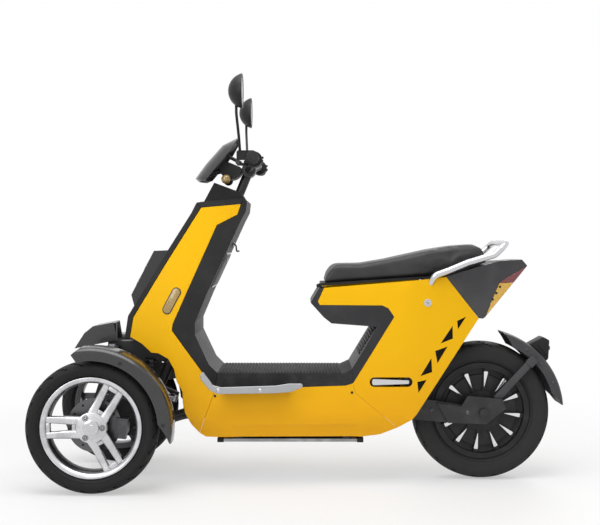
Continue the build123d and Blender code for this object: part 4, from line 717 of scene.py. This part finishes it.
# Reflectors and their frames, leaning as the front panels do
REFLECTOR_LEAN = atan2(0.6566 - 0.5767, -0.4123 + 0.4558)
spot, facing = onto("front_panel_left", -0.4340, 0.6167)
for name, size, sunk, look, slot in (
        ("side_reflectors", (0.092, 0.026, 0.005), 0.0008, REFLECTOR, "amber_lens"),
        ("reflector_frames", (0.098, 0.032, 0.004), 0.0010, TRIM_GREY, "dark_plastic")):
    turn = aim(spot - facing * sunk, facing) @ Matrix.Rotation(-REFLECTOR_LEAN, 4, "Y")
    place(name, both_sides(moved(pill(*size), turn)), "chassis", look, slot, sharp=30)


# Dark backing behind the windows of each rear panel, a little inside the panel's narrowing half width
VENT_OUTLINE = [(0.822, 0.395), (0.822, 0.470), (0.868, 0.640), (0.925, 0.755), (0.960, 0.755),
                (0.930, 0.660), (0.880, 0.520), (0.845, 0.425)]
BODY_HALF_WIDTH, TAIL_NARROWING, NARROWING_LENGTH, BACKING_INSET = 0.155, 0.077, 0.33 * WHEELBASE, 0.0075
bm = bmesh.new()
bm.faces.new([bm.verts.new(at(back, 0, up)) for back, up in VENT_OUTLINE])
for v in bm.verts:
    behind = max(0.0, v.co.x - at(0.80, 0, 0).x)
    v.co.y = BACKING_INSET - (BODY_HALF_WIDTH - TAIL_NARROWING * behind / NARROWING_LENGTH)
bmesh.ops.recalc_face_normals(bm, faces=bm.faces)
bmesh.ops.solidify(bm, geom=bm.faces[:], thickness=0.002)
place("vent_backings", both_sides(bm), "chassis", VENT_BLACK, "dark_plastic")


# Floor: ribbed mat over the footboard, and end caps on the belly plate
RIB_COUNT, RIB_PITCH = 38, 0.0107
MAT_TOP = 0.496 * SEAT_HEIGHT - 0.0003
mat_start = at(0.314, 0, 0).x
ribs = [block((0.0062, 0.286, 0.0042), (mat_start + i * RIB_PITCH, 0, MAT_TOP + 0.0012), 0.0018)
        for i in range(RIB_COUNT)]
place("floor_mat_ribs", gather(*ribs), "chassis", MAT, "dark_plastic", sharp=40)
caps = [block((0.022, 0.216, 0.0150), (x, 0, 0.1443), 0.0024)
        for x in (at(0.303, 0, 0).x + 0.010, at(0.684, 0, 0).x - 0.010)]
place("belly_end_caps", gather(*caps), "chassis", DARK, "dark_plastic")


# Leg shield: pocket lid with a gloss rim, a latch and a bag hook
SHIELD_LOW, SHIELD_HIGH = at(0.277, 0, 0.836), at(0.348, 0, 1.096)
SHIELD_UP = (SHIELD_HIGH - SHIELD_LOW).normalized()
REARWARDS = Vector((SHIELD_UP.z, 0, -SHIELD_UP.x))


def on_shield(share, proud):
    return SHIELD_LOW.lerp(SHIELD_HIGH, share) + REARWARDS * proud


for name, size, share, proud, look, slot in (
        ("pocket_lid", (0.200, 0.118, 0.006, 0.0015, 0.30), 0.42, 0.0010, TRIM_GREY, "dark_plastic"),
        ("pocket_rim", (0.212, 0.130, 0.005, 0.0015, 0.30), 0.42, 0.0004, GLOSS, "gloss_black"),
        ("pocket_latch", (0.034, 0.010, 0.004, 0.001), 0.60, 0.0042, GLOSS, "gloss_black"),
        ("hook_base", (0.024, 0.018, 0.005, 0.001), 0.86, 0.0010, GLOSS, "gloss_black")):
    trim = moved(pill(*size), laid(on_shield(share, proud), REARWARDS, SHIELD_UP))
    place(name, trim, "chassis", look, slot)
HOOK = [(0.88, 0.002), (0.87, 0.012), (0.81, 0.018), (0.78, 0.024), (0.81, 0.030)]
tube("bag_hook", [on_shield(share, proud) for share, proud in HOOK], 0.0028, "chassis", GLOSS)


# Lamps: amber lights by the handlebar, diodes in the tail, lenses and light bars in the headlight
STUB = [(0, 0.0), (9.0, 0.0), (15.5, 5.0), (16.4, 9.0), (16.4, 12.0), (0, 12.0)]
DOME = [(0, 11.0), (15.2, 11.0), (15.6, 15.0), (14.0, 20.0), (10.2, 24.0), (5.0, 26.0), (0, 26.4)]
DIODE = [(0, 2.6), (2.8, 2.3), (4.0, 1.4), (4.2, -0.8), (0, -0.8)]
HEADLIGHT = [(0, 0.4), (11.0, 3.6), (17.5, 1.8), (19.5, 3.8), (22.5, 3.8), (24.0, 2.4), (24.4, -1.0),
             (0, -1.0)]

start = at(0.3233, -0.0463, 1.352)
stub, dome = (lathe(mm(profile), start, (0, -1, 0), 32) for profile in (STUB, DOME))
place("indicator_stubs", both_sides(stub), "steering", DARK, "dark_plastic")
place("front_indicator_domes", both_sides(dome), "steering", BRASS_AMBER, "amber_lens", "front_indicators",
      sharp=60)

dots = []
for i in range(3):
    for j in range(2):
        x, z = 0.6560 - i * 0.0125 + j * 0.011, 0.664 - i * 0.021 - j * 0.002
        spot, facing = onto("rear_indicators", x, z)
        if spot:
            dots.append(lathe(mm(DIODE), spot, facing, 16))
place("tail_diodes", both_sides(gather(*dots)), "chassis", MOTOR_BLACK, "dark_plastic")

LAMP_LOW, LAMP_HIGH = at(0.074, 0, 0.834), at(0.134, 0, 1.031)
lamp_up = (LAMP_HIGH - LAMP_LOW).normalized()
forwards = Vector((-lamp_up.z, 0, lamp_up.x))
lamps = [lathe(mm(HEADLIGHT), LAMP_LOW.lerp(LAMP_HIGH, share) + forwards * 0.0006 + Vector((0, y, 0)),
               forwards, 36) for share in (0.30, 0.66) for y in (-0.032, 0.032)]
place("headlight_lenses", gather(*lamps), "chassis", CHROME, "clear_lens", sharp=40)
bars = [moved(pill(0.120, 0.007, 0.003, 0.0008),
              laid(LAMP_LOW.lerp(LAMP_HIGH, share) + forwards * 0.001, forwards, lamp_up))
        for share in (0.06, 0.93)]
place("light_bars", gather(*bars), "chassis", CLEAR, "clear_lens")


# Handlebar: ribbed grips, switches, seams and caps of the pods, display
GRIP_X, GRIP_Z = at(0.4039, 0, 0).x, 1.082
GRIP_RIBS, GRIP_RIB_PITCH = 24, 4.1
profile = [(11.4, 228.6), (19.0, 228.6), (19.6, 230.0), (19.6, 233.0), (18.4, 234.5)]
for i in range(GRIP_RIBS):
    y = 236.0 + i * GRIP_RIB_PITCH
    profile += [(17.2, y), (17.2, y + 2.2), (16.2, y + 2.7), (16.2, y + 3.6)]
profile += [(17.2, 335.0), (18.2, 337.0), (18.6, 341.0), (17.4, 344.4), (0.0, 345.4), (0.0, 343.0),
            (11.4, 343.0)]
grip = lathe(mm(profile), (GRIP_X, 0, GRIP_Z), (0, -1, 0), 32)
place("grips_ribbed", both_sides(grip), "steering", GRIP, "grip_rubber", "grips", sharp=25)
switches = [block((0.012, 0.020, 0.006), (GRIP_X + 0.0235, -0.190, GRIP_Z + 0.008), 0.002),
            block((0.010, 0.010, 0.007), (GRIP_X + 0.0240, -0.212, GRIP_Z - 0.004), 0.002),
            block((0.010, 0.014, 0.006), (GRIP_X + 0.0225, -0.182, GRIP_Z - 0.010), 0.002)]
place("switch_buttons", both_sides(gather(*switches)), "steering", TRIM_GREY, "dark_plastic")
seams = [lathe(mm([(24.6, y - 1.0), (25.6, y - 0.6), (25.6, y + 0.6), (24.6, y + 1.0)]), (GRIP_X, 0, GRIP_Z),
               (0, -1, 0), 36) for y in (168.0, 198.0, 225.0)]
place("pod_seams", both_sides(gather(*seams)), "steering", GLOSS, "gloss_black")
cap = block((0.054, 0.032, 0.004), (GRIP_X - 0.029, -0.205, GRIP_Z + 0.0278), 0.0015)
place("reservoir_caps", both_sides(cap), "steering", MOTOR_BLACK, "dark_plastic")

axis = Vector((sin(RAKE), 0, cos(RAKE)))
display_turn = laid(at(0.3350, 0, 1.4020) + axis * 0.0148, axis, Vector((-axis.z, 0, axis.x)))
place("display_glass", moved(pill(0.080, 0.056, 0.004, 0.0012, 0.30), display_turn), "steering", GLOSS,
      "gloss_black")


# Fenders and mudguard: a curved shell whose ends run to a point

MUDGUARD_R = 0.279


def about_rear(angle, share):
    """A place round the rear axle: degrees up from the rear, and a share of the mudguard's radius."""
    reach = share * MUDGUARD_R
    return REAR_HUB + Vector((cos(radians(angle)) * reach, 0, sin(radians(angle)) * reach))


def curved_guard(profile, low_end, high_end):
    """Shell spun from a profile of (radius, y); each end's angle depends on the radius."""
    bm = bmesh.new()
    verts = [bm.verts.new((r / 1000, y / 1000, 0)) for r, y in profile]
    edges = [bm.edges.new(pair) for pair in zip(verts, verts[1:])]
    span = radians(100)
    bmesh.ops.spin(bm, geom=verts + edges, cent=(0, 0, 0), axis=(0, 1, 0), angle=-span, steps=48,
                   use_merge=False)
    bmesh.ops.recalc_face_normals(bm, faces=bm.faces)
    outermost = max(bm.faces, key=lambda f: f.calc_center_median().xz.length)
    middle = outermost.calc_center_median()
    if outermost.normal.dot(Vector((middle.x, 0, middle.z))) < 0:
        bmesh.ops.reverse_faces(bm, faces=bm.faces)
    for v in bm.verts:
        reach = v.co.xz.length
        share = atan2(v.co.z, v.co.x) / span
        low_angle, high_angle = radians(low_end(reach * 1000)), radians(high_end(reach * 1000))
        angle = low_angle + (high_angle - low_angle) * share
        v.co.x, v.co.z = reach * cos(angle), reach * sin(angle)
    bmesh.ops.solidify(bm, geom=bm.faces[:], thickness=0.003)
    return bm


FENDER_PROFILE = [(218, -56.2), (224, -56.6), (236, -57.0), (244, -57.0), (250, -56.6), (255, -53.6),
                  (259, -48.5), (261, -42), (262, -28), (262.4, 0), (262, 28), (260.5, 46), (256, 52),
                  (249, 54.6), (240, 55)]
for side, tag in SIDES:
    guard = curved_guard(FENDER_PROFILE, lambda r: -11 + max(0.0, 262 - r) * 0.34,
                         lambda r: 104 - (max(0.0, r - 244) * 0.42 + max(0.0, 244 - r) * 0.10))
    guard = guard if side < 0 else mirrored(guard)
    place("fender_shell_" + tag, moved(guard, Matrix.Translation(hub_of(side))), "steer_knuckle_" + tag,
          FENDER_BLACK, "gloss_black", "fender_" + tag, sharp=24)

MUDGUARD_EDGE = [(243, 74), (250, 74), (264, 74), (270, 72.4), (275, 67), (278, 58), (279, 44), (279.6, 20)]
MUDGUARD_PROFILE = [(r, -y) for r, y in MUDGUARD_EDGE] + MUDGUARD_EDGE[::-1]
guard = curved_guard(MUDGUARD_PROFILE, lambda r: 4 + max(0.0, 279 - r) * 0.30,
                     lambda r: 75 - max(0.0, 279 - r) * 0.28)
moved(guard, Matrix.Translation(REAR_HUB))
strut_foot, strut_top = about_rear(44.0, 0.225), about_rear(46.3, 0.910)
run = (strut_top - strut_foot).normalized()
across = Vector((-run.z, 0, run.x)) * 0.012
corners = (strut_foot - across, strut_foot + across, strut_top + across, strut_top - across)
strut = slab([(p.x, p.z) for p in corners], -0.0836, -0.0742, 0.0022)
cheek = about_rear(46.0, 0.855)
shoe = moved(block((0.034, 0.016, 0.030), bevel=0.004), Matrix.Translation((cheek.x, -0.0795, cheek.z))
             @ Matrix.Rotation(-radians(46), 4, "Y"))
place("mudguard_shell", gather(guard, both_sides(gather(strut, shoe))), "chassis", REAR_GREY, "dark_plastic",
      "rear_mudguard", sharp=24)


# Fly screen: a sheet bowed in plan, with its stays behind it

def between_points(points, share):
    place_along = share * (len(points) - 1)
    index = min(int(place_along), len(points) - 2)
    return points[index].lerp(points[index + 1], place_along - index)


front_edge = [at(back, 0, up) for back, up in ((0.247, 1.343), (0.2385, 1.357), (0.267, 1.424),
                                              (0.312, 1.509), (0.353, 1.543))]
back_edge = [at(back, 0, up) for back, up in ((0.264, 1.343), (0.276, 1.354), (0.302, 1.409),
                                             (0.334, 1.474), (0.353, 1.530))]
bm = bmesh.new()
bmesh.ops.create_grid(bm, x_segments=24, y_segments=24, size=1.0)
for v in bm.verts:
    across_share, up_share = v.co.x, (v.co.y + 1) / 2
    half = 0.052 + 0.040 * sin(pi * (0.12 + 0.80 * up_share)) ** 0.8
    front, back = between_points(front_edge, up_share), between_points(back_edge, up_share)
    v.co = front.lerp(back, abs(across_share) ** 2.4) + Vector((0, across_share * half, 0))
bmesh.ops.recalc_face_normals(bm, faces=bm.faces)
if sum(f.normal.x for f in bm.faces) > 0:
    bmesh.ops.reverse_faces(bm, faces=bm.faces)
bmesh.ops.solidify(bm, geom=bm.faces[:], thickness=0.003)
place("flyscreen_sheet", bm, "steering", GLOSS, "gloss_black", "flyscreen", sharp=40)
STAYS = (("low_", 0.006, ((0.262, 1.372), (0.285, 1.384), (0.315, 1.395))),
         ("high_", 0.005, ((0.312, 1.470), (0.335, 1.452), (0.362, 1.428))))
for side, tag in SIDES:
    for level, radius, points in STAYS:
        tube("screen_stay_" + level + tag, [at(back, side * 0.030, up) for back, up in points], radius,
             "steering", POWDER)

# Black rims round the mirror glass
MIRROR_RIM = [(51.8, -3.0), (51.8, 0.9), (53.6, 1.6), (55.8, 0.6), (56.0, -1.0), (54.0, -3.0)]
rims = lathe(mm(MIRROR_RIM), (-0.19172 + 0.0015, -0.292, 1.294), (1, 0, 0))
place("mirror_rims", both_sides(rims), "steering", MIRROR_BLACK, "gloss_black")

# Skirts with the fold along their lower edge: its height, its ends, where it reaches full depth, its depth
FOLD_HEIGHT, FOLD_ENDS, FOLD_FULL, FOLD_DEPTH = 0.2036, (-0.2332, 0.1931), (-0.2032, 0.1631), 0.0065
SLACK = 0.0005
for side, tag in SIDES:
    made = softened("skirt_" + tag, PAINT, "body_paint", 0.0016)
    bm = bmesh.new()
    bm.from_mesh(made.data)
    cuts = [((0, 0, FOLD_HEIGHT), (0, 0, 1))] + [((x, 0, 0), (1, 0, 0)) for x in FOLD_ENDS + FOLD_FULL]
    for spot, way in cuts:
        bmesh.ops.bisect_plane(bm, geom=bm.verts[:] + bm.edges[:] + bm.faces[:], plane_co=spot, plane_no=way)
    for v in bm.verts:
        if v.co.z < FOLD_HEIGHT - SLACK and FOLD_FULL[0] - SLACK < v.co.x < FOLD_FULL[1] + SLACK:
            v.co.y -= side * FOLD_DEPTH
    bm.to_mesh(made.data)
    bm.free()
    made.data.set_sharp_from_angle(angle=radians(12))


# Lamp block at the end of the mudguard: ribs on both sides of a rounded box, and a small white lamp
LAMP_BLOCK = ((57.8, 0.868), (49.6, 1.185), (45.4, 1.206), (37.0, 1.043), (36.7, 0.864))
LAMP_RIBS, LAMP_RIB_PITCH = 4, 0.0125


def lamp_block():
    corners = [about_rear(*share) for share in LAMP_BLOCK]
    top, low = about_rear(47.5, 1.190), about_rear(41.0, 1.110)
    run_up = (top - low).normalized()
    inwards = (REAR_HUB - top).normalized()
    parts = [slab([(p.x, p.z) for p in corners], -0.034, 0.034, 0.0045)]
    for i in range(LAMP_RIBS):
        spot = top + inwards * (0.018 + i * LAMP_RIB_PITCH) - run_up * 0.004
        for y in (-0.0352, 0.0352):
            turn = Matrix.Translation((spot.x, y, spot.z - 0.022)) @ Matrix.Rotation(radians(-38), 4, "Y")
            parts.append(moved(block((0.0048, 0.0036, 0.052), bevel=0.0012), turn))
    return gather(*parts)


place("plate_lamp_block", lamp_block(), "chassis", DARK, "dark_plastic", "plate_lamp", sharp=30)
lamp_low, lamp_high = about_rear(40.0, 1.098), about_rear(44.0, 1.176)
outward = (lamp_high - lamp_low).normalized()
facing = Vector((outward.z, 0, -outward.x))
holder_turn = laid((lamp_low + lamp_high) / 2 + facing * 0.0012, facing, outward)
holder = moved(pill(0.052, 0.014, 0.005, 0.0012, 0.5), holder_turn)
place("plate_holder", holder, "chassis", GLOSS, "gloss_black")


# Ribs across the slanted face between the floor and the seat
SEAT_FRONT_RIBS = 9
rise_low, rise_high = at(0.653, 0, 0.514), at(0.718, 0, 0.698)
rise = (rise_high - rise_low).normalized()
rise_front = Vector((-rise.z, 0, rise.x))
ribs = [moved(pill(0.212, 0.0085, 0.0042, 0.0010, 0.5),
              laid(rise_low.lerp(rise_high, 0.34 + 0.075 * i) + rise_front * 0.0012, rise_front, rise))
        for i in range(SEAT_FRONT_RIBS)]
place("seat_front_ribs", gather(*ribs), "chassis", DARK, "dark_plastic")


# Seat: how far the foam starts inside the solid, how far it may swell, and the length of the cloth run
SEAT_INSET, SEAT_SWELL, CLOTH_FRAMES = 0.003, 0.006, 20


def cushion():
    """Padded seat: swollen by a short cloth run, then smoothed."""
    made = place("seat_cushion_cover", clean_copy("seat_cushion"), "seat", SEAT_SKIN, "seat_vinyl",
                 "seat_cushion", sharp=60)
    with bpy.context.temp_override(object=made, active_object=made, selected_objects=[made]):
        edge = made.modifiers.new("rounding", "BEVEL")
        edge.width, edge.segments, edge.limit_method, edge.angle_limit = 0.012, 3, "ANGLE", radians(40)
        mesher = made.modifiers.new("even", "REMESH")
        mesher.mode, mesher.voxel_size = "VOXEL", 0.005
    graph = bpy.context.evaluated_depsgraph_get()
    even = bpy.data.meshes.new_from_object(made.evaluated_get(graph))
    made.modifiers.clear()
    old, made.data = made.data, even
    bpy.data.meshes.remove(old)
    facing = [v.normal.copy() for v in even.vertices]
    for v, normal in zip(even.vertices, facing):
        v.co -= normal * SEAT_INSET
    cloth = made.modifiers.new("swell", "CLOTH")
    cloth.settings.use_pressure = True
    cloth.settings.uniform_pressure_force = 4
    cloth.settings.effector_weights.gravity = 0
    cloth.settings.quality = 5
    cloth.point_cache.frame_start, cloth.point_cache.frame_end = 1, CLOTH_FRAMES
    for number in range(1, CLOTH_FRAMES + 1):
        bpy.context.scene.frame_set(number)
    graph = bpy.context.evaluated_depsgraph_get()
    swollen = bpy.data.meshes.new_from_object(made.evaluated_get(graph))
    ends = [v.co.copy() for v in swollen.vertices]
    bpy.data.meshes.remove(swollen)
    made.modifiers.clear()
    bpy.context.scene.frame_set(1)
    for v, end in zip(even.vertices, ends):
        step = end - v.co
        v.co += step * min(1.0, SEAT_SWELL / max(step.length, 1e-9))
    bm = bmesh.new()
    bm.from_mesh(even)
    for _ in range(6):
        bmesh.ops.smooth_vert(bm, verts=bm.verts, factor=0.5, use_axis_x=True, use_axis_y=True,
                              use_axis_z=True)
    bm.to_mesh(even)
    bm.free()
    even.materials.clear()
    even.materials.append(SEAT_SKIN.material)
    finer = made.modifiers.new("finer", "SUBSURF")
    finer.levels = finer.render_levels = 1
    even.shade_smooth()


cushion()


# Camera, world, floor and softboxes
camera = bpy.data.cameras.new("camera")
camera.lens, camera.sensor_width, camera.sensor_fit = 65.37, 36.0, "HORIZONTAL"
eye = linked("camera", camera)
eye.location = (0.01364, -3.7739, 0.8027)
eye.rotation_euler = (pi / 2 - 0.016, 0, 0.0056)

scene = bpy.context.scene
scene.camera = eye
scene.view_settings.view_transform = "Standard"


def white_to_camera(tree, lit):
    """Shows white to the camera and in gloss and glass, and the plain light to all other rays."""
    rays = tree.nodes.new("ShaderNodeLightPath")
    either = tree.nodes.new("ShaderNodeMath")
    either.operation, either.use_clamp = "ADD", True
    tree.links.new(rays.outputs["Is Camera Ray"], either.inputs[0])
    glassy = tree.nodes.new("ShaderNodeMath")
    glassy.operation = "ADD"
    tree.links.new(rays.outputs["Is Transmission Ray"], glassy.inputs[0])
    tree.links.new(rays.outputs["Is Glossy Ray"], glassy.inputs[1])
    tree.links.new(glassy.outputs[0], either.inputs[1])
    mix = tree.nodes.new("ShaderNodeMixShader")
    backdrop = lit.bl_idname == "ShaderNodeBackground"
    white = tree.nodes.new("ShaderNodeBackground" if backdrop else "ShaderNodeEmission")
    white.inputs["Color"].default_value = (1, 1, 1, 1)
    white.inputs["Strength"].default_value = 1.0
    tree.links.new(either.outputs[0], mix.inputs[0])
    tree.links.new(lit.outputs[0], mix.inputs[1])
    tree.links.new(white.outputs[0], mix.inputs[2])
    return mix, either


world = bpy.data.worlds.new("studio")
scene.world = world
world.use_nodes = True
sky = world.node_tree.nodes["Background"]
sky.inputs["Color"].default_value = (1, 1, 1, 1)
sky.inputs["Strength"].default_value = 0.42
mix, _ = white_to_camera(world.node_tree, sky)
world.node_tree.links.new(mix.outputs[0], world.node_tree.nodes["World Output"].inputs["Surface"])

bm = bmesh.new()
bmesh.ops.create_grid(bm, x_segments=2, y_segments=2, size=40.0)
mesh = bpy.data.meshes.new("floor")
bm.to_mesh(mesh)
bm.free()
floor = linked("floor", mesh)
ground = bpy.data.materials.new("floor_white")
ground.use_nodes = True
nodes, links = ground.node_tree.nodes, ground.node_tree.links
paint = nodes["Principled BSDF"]
paint.inputs["Base Color"].default_value = (0.86, 0.86, 0.86, 1)
paint.inputs["Roughness"].default_value = 0.6
mix, either = white_to_camera(ground.node_tree, paint)
here = nodes.new("ShaderNodeTexCoord")
distance = nodes.new("ShaderNodeVectorMath")
distance.operation = "LENGTH"
links.new(here.outputs["Object"], distance.inputs[0])
fade = nodes.new("ShaderNodeMapRange")
fade.interpolation_type = "SMOOTHSTEP"
for key, value in (("From Min", 0.7), ("From Max", 2.6), ("To Min", 0.45), ("To Max", 1.0)):
    fade.inputs[key].default_value = value
links.new(distance.outputs["Value"], fade.inputs["Value"])
share = nodes.new("ShaderNodeMath")
share.operation = "MULTIPLY"
links.new(either.outputs[0], share.inputs[0])
links.new(fade.outputs["Result"], share.inputs[1])
links.new(share.outputs[0], mix.inputs[0])
links.new(mix.outputs[0], nodes["Material Output"].inputs["Surface"])
floor.data.materials.append(ground)


def softbox(name, spot, target, size, power):
    """Large soft light turned to a target."""
    light = bpy.data.lights.new(name, "AREA")
    light.shape, light.size, light.size_y, light.energy = "RECTANGLE", size[0], size[1], power
    made = linked(name, light)
    made.location = spot
    made.rotation_euler = (Vector(target) - Vector(spot)).to_track_quat("-Z", "Y").to_euler()


softbox("top_light", (-0.3, -1.0, 3.4), (0, 0, 0.5), (3.2, 2.4), 88)
softbox("side_light", (-2.2, -3.2, 1.9), (0, 0, 0.6), (1.6, 2.2), 34)
softbox("back_light", (1.6, 3.0, 2.4), (0, 0, 0.6), (2.0, 1.6), 30)
